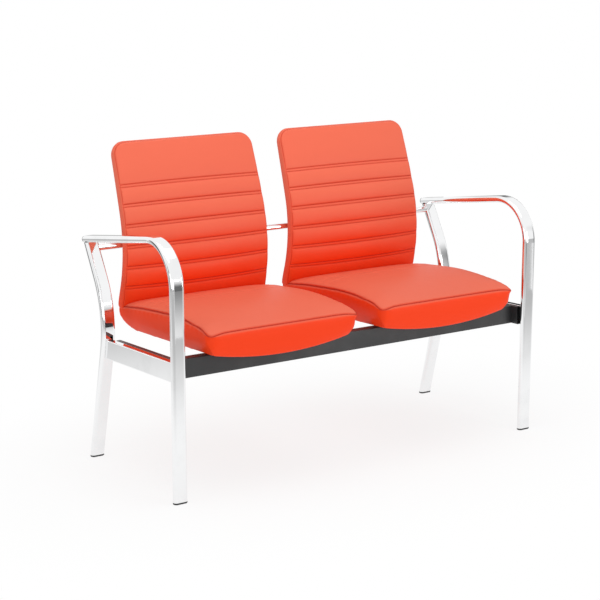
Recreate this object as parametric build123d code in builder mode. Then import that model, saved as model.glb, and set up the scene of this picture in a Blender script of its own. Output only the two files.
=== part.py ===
from build123d import *
import os
from math import cos, radians, sin, sqrt, tan

# A two-seat waiting room bench, in millimetres, +Z up.
# X runs along the bench and +Y points to its back. "left" is the left of someone facing the bench.
# The origin is on the floor, under the middle of the bench's length and depth.

# Fits between separate pieces
weld_gap = 0.3  # between curved faces that a weld joins
skin_gap = 0.3  # between a shell and the upholstery round it
plug_gap = 0.3  # between a plastic plug and the tube round it
hole_gap = 0.3  # round the shank of a bolt or the barrel of a nut

# Seats, along X
seat_width = 464
seat_gap = 72  # between the two seats
arm_clearance = 55  # between a seat and the legs beside it

# Chrome end frames of flat oval tube, with Y distances from the front legs' centre line
front_leg_y = -242.7
tube_width = 40
tube_thickness = 18
tube_wall = 1.5
arm_rise = 315  # from the underframe's top to where the lines of leg and arm cross
arm_slope = 8.5  # degrees, down towards the back
arm_bend_radius = 110
arm_overhang = 7  # of the arm past the rear leg's line
rear_leg_lean = 30  # degrees, above the bow
rear_leg_splay = 105  # from the bow's corner back to the rear foot
bow_rise = 54  # from the underframe's top to the bow's corner
bow_radius = 268
crossbar_diameter = 18
crossbar_wall = 1.5

# Plastic feet and plugs
foot_cap_height = 5
foot_cap_edge = 1.2
plug_length = 20
end_cap_thickness = 3

# Underframe: chrome side rails, black end members and one beam under the seats
frame_top_z = 368  # at the rear faces of the front legs
frame_tilt = 2.6  # degrees, down towards the back
rail_height = 52
rail_thickness = 20
member_thickness = 15
beam_depth = 30
box_wall = 1.5
box_corner = 3
front_beam_set_back = 30  # from the front leg's rear face
member_front_gap = 5
member_rear_gap = 24  # from the end member to the rear leg

# Seat straps and back brackets
strap_width = 40
strap_thickness = 5
strap_length = 235  # from the front of the beam, back under the seat
strap_offset = 120  # from the middle of the seat
bracket_width = 40
bracket_height = 68
bracket_thickness = 3

# Bent plywood shell and upholstery
shell_thickness = 10
shell_corner = 30
cover_thickness = 6
border = 14  # of the upholstery beyond the sides of the shell
front_border = 24
seat_bend_radius = 50
lumbar_reach = 433  # from the front legs to the shell's most forward point at the back
lumbar_rise = 192  # of that point above the underframe's top
lumbar_radius = 383
lower_lean = 15  # degrees, of the back below the lumbar curve
recline = 17.5  # degrees, of the back above it
back_top = 313  # from the lumbar point up to the top edge
back_taper = 12  # each side, from the seat's width to the top of the back
back_corner = 36
back_top_crown = 5
back_pad = 12  # depth of the back cushion at its side edges
back_crown = 12  # more at its middle
channel_swell = 4
edge_swell = 2
back_rounding = 12  # of the top edge
back_draw = 2  # how far the sides pull in
back_seat_gap = 1  # between the back cushion and the seat cushion
crossbar_rise = 30  # above the lumbar point
top_seam = 189  # from the lumbar point up to the first cross seam
seam_pitch = 57.5
seam_count = 6

# Seat cushion: heights are those of the top seam above the underside
seat_overhang = 32  # of the front border past the front legs' centre line
seat_front_height = 62
seat_fore_height = 79
seat_middle_height = 75
seat_rear_height = 56
seat_fore_reach = 132  # from the front border to the highest part of the seam
seat_middle_back = 172  # from the rear corner forward to the middle of the slope
front_crown = 3  # of the top panel above its seams
fore_crown = 11
rear_crown = 17
seat_tuck = 24  # of the side borders, in to the underside
seat_bulge = 9  # of the side borders, out from a straight line
seat_draw = 4  # how far the sides pull in between the corners
seat_plan_corner = 30
front_lean = 3  # of the front border, back to the seam
front_tuck = 30  # of the front border, back to the underside
groove_radius = 8
groove_depth = 2
groove_pitch = 46
groove_count = 4

# Fasteners
frame_bolt_diameter = 8
frame_bolt_head = 13
frame_bolt_head_height = 5.5
frame_bolt_from_beam = 35
rivet_nut_diameter = 11
rivet_nut_length = 14
seat_bolt_diameter = 6
seat_bolt_head = 12
seat_bolt_head_height = 4
seat_bolt_from_beam = 45
seat_bolt_from_end = 30  # of the strap
back_screw_from_bar = 22
back_screw_head_height = 3.5
tee_nut_barrel = 8
tee_nut_flange = 19
tee_nut_flange_height = 1.6

# Places worked out from the sizes above
seat_x = (seat_width + seat_gap) / 2
frame_x = seat_x + seat_width / 2 + arm_clearance + tube_width / 2
tilt = radians(frame_tilt)
leg_back_y = front_leg_y + tube_thickness / 2
frame_plane = Plane(origin=(0, leg_back_y, frame_top_z), x_dir=(1, 0, 0), z_dir=(0, sin(tilt), cos(tilt)))
member_x = frame_x - rail_thickness / 2 - member_thickness / 2
member_inner_x = member_x - member_thickness / 2
shell_back = shell_thickness / 2 + skin_gap + cover_thickness  # from the shell's middle to the outside
shell_up = strap_thickness + shell_back
shell_width = seat_width - 2 * back_taper - 2 * border
lower_angle = -radians(lower_lean)
upper_angle = radians(recline)
lumbar_z = frame_top_z + lumbar_rise
lumbar_centre_y = front_leg_y + lumbar_reach + lumbar_radius
seat_front_y = front_leg_y - seat_overhang


def on_frame(x, back, up):
    """Point on the tilted underframe, from the front legs' rear faces back and from its top up."""
    return frame_plane.from_local_coords((x, back, up))


def back_plane(x, back, up):
    """Plane across the underframe, facing to the back."""
    return Plane(origin=on_frame(x, back, up), x_dir=(1, 0, 0), z_dir=frame_plane.y_dir)


def side_plane(x, back, up):
    """Plane along the underframe, facing +X, with its own x to the back."""
    return Plane(origin=on_frame(x, back, up), x_dir=frame_plane.y_dir, z_dir=(1, 0, 0))


def top_plane(x, back, up):
    """Plane parallel to the underframe's top."""
    return Plane(origin=on_frame(x, back, up), x_dir=(1, 0, 0), z_dir=frame_plane.z_dir)


def on_back(rise, depth):
    """Point (y, z) beside the shell's middle line: rise along it from the lumbar point, depth in front."""
    angle = min(max(rise / lumbar_radius, lower_angle), upper_angle)
    run = rise - angle * lumbar_radius
    radius = lumbar_radius + depth
    y = lumbar_centre_y - radius * cos(angle) + run * sin(angle)
    return y, lumbar_z + radius * sin(angle) + run * cos(angle)


def back_tangent_plane(x, rise, depth):
    """Plane that touches the back, facing to the rear."""
    y, z = on_back(rise, depth)
    angle = min(max(rise / lumbar_radius, lower_angle), upper_angle)
    return Plane(origin=(x, y, z), x_dir=(-1, 0, 0), z_dir=(0, cos(angle), -sin(angle)))


# The shell's middle line: seat, bend, lower back, lumbar curve and upper back
shell_front = on_frame(0, -seat_overhang + front_border - tube_thickness / 2, shell_up)
lower_y = lumbar_centre_y - lumbar_radius * cos(lower_angle)
lower_z = lumbar_z + lumbar_radius * sin(lower_angle)
seat_drop = tan(tilt)
lower_run = (lower_z - shell_front.Z + (lower_y - shell_front.Y) * seat_drop) / (
    cos(lower_angle) + sin(lower_angle) * seat_drop
)
shell_corner_y = lower_y - lower_run * sin(lower_angle)
shell_corner_z = lower_z - lower_run * cos(lower_angle)
lumbar_corner = lumbar_radius / cos((upper_angle - lower_angle) / 2)
lumbar_middle = (upper_angle + lower_angle) / 2
lumbar_corner_y = lumbar_centre_y - lumbar_corner * cos(lumbar_middle)
lumbar_corner_z = lumbar_z + lumbar_corner * sin(lumbar_middle)

# The crossbar lies behind the brackets, and the rear legs pass through its line
crossbar_depth = -(shell_back + skin_gap + bracket_thickness + weld_gap + crossbar_diameter / 2)
crossbar_y, crossbar_z = on_back(crossbar_rise, crossbar_depth)
leg_lean = tan(radians(rear_leg_lean))
arm_drop = tan(radians(arm_slope))
arm_corner_z = frame_top_z + arm_rise
arm_cross_y = (crossbar_y + (arm_corner_z + front_leg_y * arm_drop - crossbar_z) * leg_lean) / (1 + arm_drop * leg_lean)
arm_end_y = arm_cross_y + arm_overhang
bow_z = frame_top_z + bow_rise
bow_y = crossbar_y - (crossbar_z - bow_z) * leg_lean
rear_foot_y = bow_y + rear_leg_splay


def arm_z(y):
    """Height of the arm's centre line."""
    return arm_corner_z - (y - front_leg_y) * arm_drop


def front_leg_path(x):
    """Centre line of a front leg and its arm, from the floor to the arm's rear end."""
    with BuildLine(Plane.YZ.offset(x)) as path:
        FilletPolyline(
            (front_leg_y, 0),
            (front_leg_y, arm_corner_z),
            (arm_end_y, arm_z(arm_end_y)),
            radius=arm_bend_radius,
        )
    return path.line


def rear_leg_path(x):
    """Centre line of a rear leg, from the floor to the arm's centre line."""
    with BuildLine(Plane.YZ.offset(x)) as path:
        FilletPolyline(
            (rear_foot_y, 0),
            (bow_y, bow_z),
            (arm_cross_y, arm_z(arm_cross_y)),
            radius=bow_radius,
        )
    return path.line


def path_plane(path, at):
    """Plane square to a path, with its x along the bench."""
    return Plane(origin=path @ at, x_dir=(1, 0, 0), z_dir=path % at)


def oval(plane, growth=0.0):
    """The tube's outer oval, grown all round."""
    with BuildSketch(plane) as section:
        SlotOverall(tube_width + 2 * growth, tube_thickness + 2 * growth)
    return section.sketch


def oval_ring(plane):
    """The tube's wall."""
    with BuildSketch(plane) as section:
        SlotOverall(tube_width, tube_thickness)
        SlotOverall(tube_width - 2 * tube_wall, tube_thickness - 2 * tube_wall, mode=Mode.SUBTRACT)
    return section.sketch


def box_ring(plane, width, height):
    """The wall of a rectangular tube with rounded edges."""
    with BuildSketch(plane) as section:
        RectangleRounded(width, height, box_corner)
        RectangleRounded(width - 2 * box_wall, height - 2 * box_wall, box_corner - box_wall, mode=Mode.SUBTRACT)
    return section.sketch


def keep(piece, label):
    """Label a finished piece and write its file."""
    piece.part.label = label
    export_step(piece.part, f"parts/{label}.step")


def make_foot_cap(path, label):
    """Plastic cap under a leg, with a plug up inside the tube."""
    axis = path % 0
    rise = foot_cap_height / axis.Z
    end = path @ 0 + axis * rise
    with BuildPart() as cap:
        with BuildSketch(path_plane(path, 0)):
            plug_wall = tube_wall + plug_gap
            SlotOverall(tube_width - 2 * plug_wall, tube_thickness - 2 * plug_wall)
        extrude(amount=rise + plug_length)
        split(bisect_by=Plane.XY.offset(foot_cap_height), keep=Keep.TOP)
        with BuildSketch(Plane(origin=(end.X, end.Y, 0))):
            SlotOverall(tube_width, tube_thickness / axis.Z)
        extrude(amount=foot_cap_height)
        chamfer(cap.faces().sort_by(Axis.Z)[0].edges(), length=foot_cap_edge)
    keep(cap, label)


def make_arm_end_cap(path, label):
    """Plastic plug in the rear end of an arm."""
    with BuildPart() as cap:
        with BuildSketch(path_plane(path, 1)):
            SlotOverall(tube_width, tube_thickness)
        extrude(amount=end_cap_thickness)
        chamfer(cap.faces().sort_by(Axis.Y)[-1].edges(), length=foot_cap_edge)
        with BuildSketch(path_plane(path, 1)):
            plug_wall = tube_wall + plug_gap
            SlotOverall(tube_width - 2 * plug_wall, tube_thickness - 2 * plug_wall)
        extrude(amount=-plug_length)
    keep(cap, label)


os.makedirs("parts", exist_ok=True)

# Where the rear leg's bow crosses the height of the rail's middle
bow_centre = rear_leg_path(0).edges().filter_by(GeomType.CIRCLE)[0].arc_center
rail_middle_z = on_frame(0, bow_y - leg_back_y, -rail_height / 2).Z
rail_end_y = bow_centre.Y - sqrt(bow_radius**2 - (rail_middle_z - bow_centre.Z) ** 2)
rail_length = (rail_end_y - leg_back_y) / cos(tilt)
rear_leg_face = rail_length - tube_thickness / 2

# Positions along the underframe, back from the front legs
member_length = rear_leg_face - member_front_gap - member_rear_gap
beam_back = front_beam_set_back + beam_depth / 2
beam_rear = front_beam_set_back + beam_depth
strap_rear = front_beam_set_back + strap_length
frame_bolt_backs = (beam_rear + frame_bolt_from_beam, member_front_gap + member_length - frame_bolt_from_beam)
seat_bolt_backs = (beam_rear + seat_bolt_from_beam, strap_rear - seat_bolt_from_end)

# End frames
arm_underside = Plane(
    origin=(0, arm_cross_y, arm_z(arm_cross_y) - tube_thickness / 2 / cos(radians(arm_slope))),
    z_dir=(0, sin(radians(arm_slope)), cos(radians(arm_slope))),
)
for side, x in (("left", -frame_x), ("right", frame_x)):
    front_path = front_leg_path(x)
    rear_path = rear_leg_path(x)

    # Front leg and arm in one bent tube
    with BuildPart() as front_leg_and_arm:
        sweep(sections=oval_ring(path_plane(front_path, 0)), path=front_path)
        split(bisect_by=Plane.XY.offset(foot_cap_height), keep=Keep.TOP)
    keep(front_leg_and_arm, f"{side}_front_leg_and_arm")

    # Bowed rear leg, cut to the arm's flat underside
    with BuildPart() as rear_leg:
        sweep(sections=oval_ring(path_plane(rear_path, 0)), path=rear_path)
        split(bisect_by=Plane.XY.offset(foot_cap_height), keep=Keep.TOP)
        split(bisect_by=arm_underside, keep=Keep.BOTTOM)
    keep(rear_leg, f"{side}_rear_leg")

    # Side rail, cut to the rear leg's bow
    inward = -1 if x > 0 else 1
    rail_inner_x = x + inward * rail_thickness / 2
    with BuildPart() as side_rail:
        extrude(box_ring(back_plane(x, 0, -rail_height / 2), rail_thickness, rail_height), amount=rail_length)
        split(bisect_by=Plane(origin=(0, leg_back_y, 0), z_dir=(0, 1, 0)), keep=Keep.TOP)
        sweep(sections=oval(path_plane(rear_path, 0), weld_gap), path=rear_path, mode=Mode.SUBTRACT)
        with BuildSketch(side_plane(rail_inner_x, 0, -rail_height / 2)):
            with Locations(*[(back, 0) for back in frame_bolt_backs]):
                Circle(rivet_nut_diameter / 2 + hole_gap)
        extrude(amount=-inward * rail_thickness / 2, mode=Mode.SUBTRACT)
    keep(side_rail, f"{side}_side_rail")

    # Black end member against the rail's inner face
    with BuildPart() as end_member:
        start = back_plane(inward * -member_x, member_front_gap, -rail_height / 2)
        extrude(box_ring(start, member_thickness, rail_height), amount=member_length)
        with BuildSketch(side_plane(0, 0, -rail_height / 2)):
            with Locations(*[(back, 0) for back in frame_bolt_backs]):
                Circle(frame_bolt_diameter / 2 + hole_gap)
        extrude(amount=-inward * frame_x, mode=Mode.SUBTRACT)
    keep(end_member, f"{side}_end_member")

    make_foot_cap(front_path, f"{side}_front_foot_cap")
    make_foot_cap(rear_path, f"{side}_rear_foot_cap")
    make_arm_end_cap(front_path, f"{side}_arm_end_cap")

# Crossbar between the rear legs, its ends cut to their rounded sides
with BuildPart() as rear_crossbar:
    crossbar_half = frame_x - tube_width / 2 + tube_thickness / 4
    with BuildSketch(Plane.YZ):
        with Locations((crossbar_y, crossbar_z)):
            Circle(crossbar_diameter / 2)
            Circle(crossbar_diameter / 2 - crossbar_wall, mode=Mode.SUBTRACT)
    extrude(amount=crossbar_half, both=True)
    for x in (-frame_x, frame_x):
        leg_path = rear_leg_path(x)
        sweep(sections=oval(path_plane(leg_path, 0), weld_gap), path=leg_path, mode=Mode.SUBTRACT)
keep(rear_crossbar, "rear_crossbar")

# Beam between the end members
with BuildPart() as beam:
    section = box_ring(side_plane(0, beam_back, -rail_height / 2), beam_depth, rail_height)
    extrude(section, amount=member_inner_x, both=True)
keep(beam, "front_beam")

# Bolts from inside the end members into rivet nuts in the side rails
with BuildPart() as frame_bolts:
    with BuildPart(mode=Mode.PRIVATE) as bolt:
        with BuildSketch(Plane.XY):
            RegularPolygon(frame_bolt_head / 2, 6, major_radius=False)
        extrude(amount=-frame_bolt_head_height)
        with BuildSketch(Plane.XY):
            Circle(frame_bolt_diameter / 2)
        extrude(amount=member_thickness + rivet_nut_length)
    for outward in (-1, 1):
        for back in frame_bolt_backs:
            seat = Plane(origin=on_frame(outward * member_inner_x, back, -rail_height / 2), z_dir=(outward, 0, 0))
            add(bolt.part.moved(seat.location))
keep(frame_bolts, "frame_bolts")

with BuildPart() as frame_rivet_nuts:
    for outward in (-1, 1):
        with BuildSketch(side_plane(outward * (frame_x - rail_thickness / 2), 0, -rail_height / 2)):
            with Locations(*[(back, 0) for back in frame_bolt_backs]):
                Circle(rivet_nut_diameter / 2)
                Circle(frame_bolt_diameter / 2 + hole_gap, mode=Mode.SUBTRACT)
        extrude(amount=outward * rivet_nut_length)
keep(frame_rivet_nuts, "frame_rivet_nuts")


def shell_path(growth=0.0):
    """Middle line of a bent shell, from the front of the seat to the top of the back."""
    start = shell_front - frame_plane.y_dir * growth
    with BuildLine(Plane.YZ) as path:
        FilletPolyline(
            (start.Y, start.Z),
            (shell_corner_y, shell_corner_z),
            (lumbar_corner_y, lumbar_corner_z),
            on_back(back_top - border + growth, 0),
            radius=(seat_bend_radius, lumbar_radius),
        )
    return path.line


def make_band(width, inner, outer, growth, corner):
    """Sheet bent along the shell, between two distances outward from its middle line."""
    path = shell_path(growth)
    with BuildPart() as sheet:
        with BuildSketch(path_plane(path, 0)) as section:
            with Locations((0, (inner + outer) / 2)):
                Rectangle(width, outer - inner)
        sweep(sections=section.sketch, path=path)
        if corner > 0:
            front_end = sheet.faces().sort_by(Axis.Y)[0]
            top_end = sheet.faces().sort_by(Axis.Z)[-1]
            corners = front_end.edges().sort_by(SortBy.LENGTH)[:2] + top_end.edges().sort_by(SortBy.LENGTH)[:2]
            fillet(corners, radius=corner)
    return sheet.part


def seat_section(back, height, crown):
    """Cross-section of the seat cushion: rounded side borders that tuck in below, and a crowned top."""
    seam = seat_width / 2
    low = seam - seat_tuck
    middle = seam - seat_tuck / 2 + seat_bulge
    plane = Plane(origin=on_frame(0, back, strap_thickness), x_dir=(1, 0, 0), z_dir=frame_plane.y_dir * -1)
    with BuildSketch(plane) as section:
        with BuildLine():
            Line((-low, -1), (low, -1))
            ThreePointArc((low, -1), (middle, height / 2), (seam, height))
            ThreePointArc((seam, height), (0, height + crown), (-seam, height))
            ThreePointArc((-seam, height), (-middle, height / 2), (-low, -1))
        make_face()
    return section.sketch


def back_section(x, pad, swell, top):
    """Side view of the back cushion: channels in front, a rounded top and a plain rear."""
    front = shell_thickness / 2 + pad
    rear = -shell_back - 1
    shoulder = top - back_rounding
    low = shell_corner_z - lumbar_z
    arc_low = lower_angle * lumbar_radius
    arc_high = upper_angle * lumbar_radius
    rises = [shoulder] + [top_seam - seam_pitch * i for i in range(seam_count)] + [low]
    with BuildSketch(Plane.YZ.offset(x)) as section:
        with BuildLine():
            for high, end in zip(rises, rises[1:]):
                ThreePointArc(on_back(high, front), on_back((high + end) / 2, front + swell), on_back(end, front))
            Line(on_back(low, front), on_back(low, rear))
            Line(on_back(low, rear), on_back(arc_low, rear))
            ThreePointArc(on_back(arc_low, rear), on_back(0, rear), on_back(arc_high, rear))
            Line(on_back(arc_high, rear), on_back(shoulder, rear))
            ThreePointArc(on_back(shoulder, rear), on_back(top, (front + rear) / 2), on_back(shoulder, front))
        make_face()
    return section.sketch


def seat_top(piece, x, y):
    """Point on top of the seat cushion."""
    hits = piece.part.find_intersection_points(Axis((x, y, arm_corner_z), (0, 0, -1)))
    return max([hit[0] for hit in hits], key=lambda point: point.Z)


# Space taken by the shell and the cover behind it, and the space outside the upholstery
far = 2 * seat_fore_height
pocket = make_band(
    shell_width + 2 * skin_gap, -shell_thickness / 2 - skin_gap, far, skin_gap, shell_corner + skin_gap
)
outside = make_band(2 * seat_width, shell_back, far, seat_width / 4, 0)

# Seat cushion: a crowned, round-bellied pad with a curved front border
seat_front_back = -seat_overhang - tube_thickness / 2
corner_back = (shell_corner_y - leg_back_y) / cos(tilt)
base_z = on_frame(0, seat_front_back, strap_thickness).Z
with BuildPart() as seat_cushion:
    loft(
        sections=[
            seat_section(seat_front_back - 2, seat_front_height, front_crown),
            seat_section(seat_front_back + seat_fore_reach, seat_fore_height, fore_crown),
            seat_section(corner_back - seat_middle_back, seat_middle_height, rear_crown),
            seat_section(corner_back + seat_bend_radius / 2, seat_rear_height, rear_crown),
        ]
    )
    rear_y = shell_corner_y + seat_bend_radius / 2 - 2
    with BuildSketch(Plane.YZ) as front_profile:
        with BuildLine():
            high = (seat_front_y + front_lean, base_z + seat_front_height + front_crown)
            low = (seat_front_y + front_tuck, base_z - 2)
            ThreePointArc(high, (seat_front_y + front_lean, base_z + seat_front_height / 2), low)
            Polyline(low, (rear_y, low[1] - seat_front_height), (rear_y, high[1] + seat_front_height), high)
        make_face()
    extrude(front_profile.sketch, amount=seat_width, both=True, mode=Mode.INTERSECT)
    with BuildSketch(Plane.XY) as plan:
        with BuildLine():
            half = seat_width / 2
            middle_y = (seat_front_y + rear_y) / 2
            Line((-half, seat_front_y), (half, seat_front_y))
            ThreePointArc((half, seat_front_y), (half - seat_draw, middle_y), (half, rear_y + 1))
            Line((half, rear_y + 1), (-half, rear_y + 1))
            ThreePointArc((-half, rear_y + 1), (seat_draw - half, middle_y), (-half, seat_front_y))
        make_face()
        fillet(plan.vertices().group_by(Axis.Y)[0], radius=seat_plan_corner)
    extrude(plan.sketch, amount=2 * frame_top_z, mode=Mode.INTERSECT)
    for i in range(groove_count):
        groove_y = shell_corner_y - shell_thickness - (i + 1.6) * groove_pitch
        reach = seat_width / 2 - seat_draw - 2 * groove_radius
        lift = Vector(0, 0, groove_radius - groove_depth)
        tops = [seat_top(seat_cushion, x, groove_y) + lift for x in (-reach, 0, reach)]
        with BuildLine() as groove_path:
            ThreePointArc(*tops)
        groove_plane = Plane(origin=groove_path.line @ 0, z_dir=groove_path.line % 0)
        with BuildSketch(groove_plane) as groove:
            Circle(groove_radius)
        sweep(sections=groove.sketch, path=groove_path.line, mode=Mode.SUBTRACT)
    crease_y = on_back(shell_corner_z - lumbar_z, shell_thickness / 2 + back_pad + back_crown)[0]
    crease_x = seat_width / 2 - seat_draw
    crease = seat_top(seat_cushion, crease_x, crease_y)
    crease_rear = seat_top(seat_cushion, crease_x, shell_corner_y)
    seat_block = seat_cushion.part
    add(outside, mode=Mode.SUBTRACT)
    add(pocket, mode=Mode.SUBTRACT)

# Back cushion: seven stuffed channels between sewn cross seams
slope = (crease_rear - crease).normalized()
crease_plane = Plane(origin=crease + Vector(0, 0, back_seat_gap), x_dir=(1, 0, 0), z_dir=(0, -slope.Z, slope.Y))
with BuildPart() as back_cushion:
    loft(
        sections=[
            back_section(-seat_width / 2 - 1, back_pad, edge_swell, back_top - back_top_crown),
            back_section(0, back_pad + back_crown, channel_swell, back_top),
            back_section(seat_width / 2 + 1, back_pad, edge_swell, back_top - back_top_crown),
        ]
    )
    top_z = on_back(back_top, 0)[1] + 1
    with BuildSketch(Plane.XZ) as front_view:
        with BuildLine():
            low_half = seat_width / 2
            top_half = low_half - back_taper
            middle_half = (low_half + top_half) / 2 - back_draw
            low_z = shell_corner_z
            middle_z = (low_z + top_z) / 2
            edge_z = top_z - back_top_crown
            ThreePointArc((-low_half, low_z), (-middle_half, middle_z), (-top_half, edge_z))
            ThreePointArc((-top_half, edge_z), (0, top_z), (top_half, edge_z))
            ThreePointArc((top_half, edge_z), (middle_half, middle_z), (low_half, low_z))
            Line((low_half, low_z), (-low_half, low_z))
        make_face()
        fillet(front_view.vertices().group_by(Axis.Z)[-1], radius=back_corner)
    extrude(front_view.sketch, amount=2 * frame_x, both=True, mode=Mode.INTERSECT)
    split(bisect_by=crease_plane, keep=Keep.TOP)
    add(seat_block.moved(Location((0, 0, back_seat_gap))), mode=Mode.SUBTRACT)
    add(outside, mode=Mode.SUBTRACT)
    add(pocket, mode=Mode.SUBTRACT)

# Shell, with counterbored holes for the tee nuts, and the cover behind and under it
seat_bolt_points = [(x, back) for x in (-strap_offset, strap_offset) for back in seat_bolt_backs]
back_screw_points = [
    (x, crossbar_rise + rise)
    for x in (-strap_offset, strap_offset)
    for rise in (-back_screw_from_bar, back_screw_from_bar)
]
shell_top_up = strap_thickness + cover_thickness + skin_gap + shell_thickness
back_sink = shell_thickness / 2 - skin_gap  # of the tee nuts' faces in the back
with BuildPart() as shell:
    add(make_band(shell_width, -shell_thickness / 2, shell_thickness / 2, 0, shell_corner))
    with BuildSketch(*[top_plane(x, back, 0) for x, back in seat_bolt_points]):
        Circle(tee_nut_barrel / 2 + hole_gap)
    extrude(amount=shell_top_up, mode=Mode.SUBTRACT)
    with BuildSketch(*[top_plane(x, back, shell_top_up) for x, back in seat_bolt_points]):
        Circle(tee_nut_flange / 2 + hole_gap)
    extrude(amount=-tee_nut_flange_height, mode=Mode.SUBTRACT)
    with BuildSketch(*[back_tangent_plane(x, rise, shell_thickness) for x, rise in back_screw_points]):
        Circle(tee_nut_barrel / 2 + hole_gap)
    extrude(amount=2 * shell_thickness, mode=Mode.SUBTRACT)
    with BuildSketch(*[back_tangent_plane(x, rise, shell_thickness) for x, rise in back_screw_points]):
        Circle(tee_nut_flange / 2 + hole_gap)
    extrude(amount=shell_thickness - back_sink + tee_nut_flange_height, mode=Mode.SUBTRACT)

with BuildPart() as cover:
    add(make_band(shell_width, shell_thickness / 2 + skin_gap, shell_back, 0, shell_corner))
    with BuildSketch(*[top_plane(x, back, 0) for x, back in seat_bolt_points]):
        Circle(seat_bolt_diameter / 2 + hole_gap)
    extrude(amount=shell_top_up, mode=Mode.SUBTRACT)
    with BuildSketch(*[back_tangent_plane(x, rise, 0) for x, rise in back_screw_points]):
        Circle(seat_bolt_diameter / 2 + hole_gap)
    extrude(amount=2 * shell_back, mode=Mode.SUBTRACT)

# Straps on the beam, and curved brackets between the back and the crossbar
bracket_face = shell_back + skin_gap
with BuildPart() as strap:
    with BuildSketch(top_plane(0, front_beam_set_back + strap_length / 2, 0)):
        RectangleRounded(strap_width, strap_length, box_corner)
    extrude(amount=strap_thickness)
    with BuildSketch(*[top_plane(0, back, 0) for back in seat_bolt_backs]):
        Circle(seat_bolt_diameter / 2 + hole_gap)
    extrude(amount=strap_thickness, mode=Mode.SUBTRACT)

with BuildPart() as bracket:
    with BuildSketch(Plane.YZ):
        with BuildLine():
            low = crossbar_rise - bracket_height / 2
            high = crossbar_rise + bracket_height / 2
            near = -bracket_face
            away = -bracket_face - bracket_thickness
            ThreePointArc(on_back(low, near), on_back(crossbar_rise, near), on_back(high, near))
            Line(on_back(high, near), on_back(high, away))
            ThreePointArc(on_back(high, away), on_back(crossbar_rise, away), on_back(low, away))
            Line(on_back(low, away), on_back(low, near))
        make_face()
    extrude(amount=bracket_width / 2, both=True)
    for offset in (-back_screw_from_bar, back_screw_from_bar):
        with BuildSketch(back_tangent_plane(0, crossbar_rise + offset, 0)):
            Circle(seat_bolt_diameter / 2 + hole_gap)
        extrude(amount=2 * shell_back + bracket_thickness, mode=Mode.SUBTRACT)

# Bolts up through the straps and screws in through the brackets, each into a tee nut in the shell
with BuildPart() as seat_bolts:
    for x, back in seat_bolt_points:
        with BuildSketch(top_plane(x, back, 0)):
            RegularPolygon(seat_bolt_head / 2, 6, major_radius=False)
        extrude(amount=-seat_bolt_head_height)
        with BuildSketch(top_plane(x, back, 0)):
            Circle(seat_bolt_diameter / 2)
        extrude(amount=shell_top_up - tee_nut_flange_height)

with BuildPart() as seat_tee_nuts:
    for x, back in seat_bolt_points:
        with BuildSketch(top_plane(x, back, shell_top_up)):
            Circle(tee_nut_flange / 2)
        extrude(amount=-tee_nut_flange_height)
        with BuildSketch(top_plane(x, back, shell_top_up)):
            Circle(tee_nut_barrel / 2)
        extrude(amount=skin_gap - shell_thickness)
        with BuildSketch(top_plane(x, back, 0)):
            Circle(seat_bolt_diameter / 2 + hole_gap)
        extrude(amount=shell_top_up, mode=Mode.SUBTRACT)

with BuildPart() as back_screws:
    for x, rise in back_screw_points:
        head_depth = -bracket_face - bracket_thickness - skin_gap
        with BuildSketch(back_tangent_plane(x, rise, head_depth)):
            Circle(seat_bolt_head / 2)
        extrude(amount=back_screw_head_height)
        with BuildSketch(back_tangent_plane(x, rise, head_depth)):
            Circle(seat_bolt_diameter / 2)
        extrude(amount=head_depth - back_sink + tee_nut_flange_height)

with BuildPart() as back_tee_nuts:
    for x, rise in back_screw_points:
        with BuildSketch(back_tangent_plane(x, rise, back_sink)):
            Circle(tee_nut_flange / 2)
        extrude(amount=tee_nut_flange_height)
        with BuildSketch(back_tangent_plane(x, rise, back_sink)):
            Circle(tee_nut_barrel / 2)
        extrude(amount=shell_thickness - 2 * skin_gap)
        with BuildSketch(back_tangent_plane(x, rise, shell_thickness)):
            Circle(seat_bolt_diameter / 2 + hole_gap)
        extrude(amount=2 * shell_thickness, mode=Mode.SUBTRACT)

# One set of each for both seats
seat_set = (
    ("seat_cushion", seat_cushion),
    ("back_cushion", back_cushion),
    ("seat_shell", shell),
    ("outer_cover", cover),
    ("seat_bolts", seat_bolts),
    ("seat_tee_nuts", seat_tee_nuts),
    ("back_screws", back_screws),
    ("back_tee_nuts", back_tee_nuts),
)
for side, x in (("left", -seat_x), ("right", seat_x)):
    for label, pattern in seat_set:
        with BuildPart() as piece:
            add(pattern.part.moved(Location((x, 0, 0))))
        keep(piece, f"{side}_{label}")
    outward = -1 if x < 0 else 1
    for place, offset in (("outer", outward * strap_offset), ("inner", -outward * strap_offset)):
        with BuildPart() as seat_strap:
            add(strap.part.moved(Location((x + offset, 0, 0))))
        keep(seat_strap, f"{side}_{place}_seat_strap")
        with BuildPart() as back_bracket:
            add(bracket.part.moved(Location((x + offset, 0, 0))))
        keep(back_bracket, f"{side}_{place}_back_bracket")
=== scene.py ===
import logging
import math
from dataclasses import dataclass, field
from enum import Enum

import bpy
import numpy as np
from mathutils import Euler, Matrix, Vector
from mathutils.bvhtree import BVHTree
from mathutils.kdtree import KDTree


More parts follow.
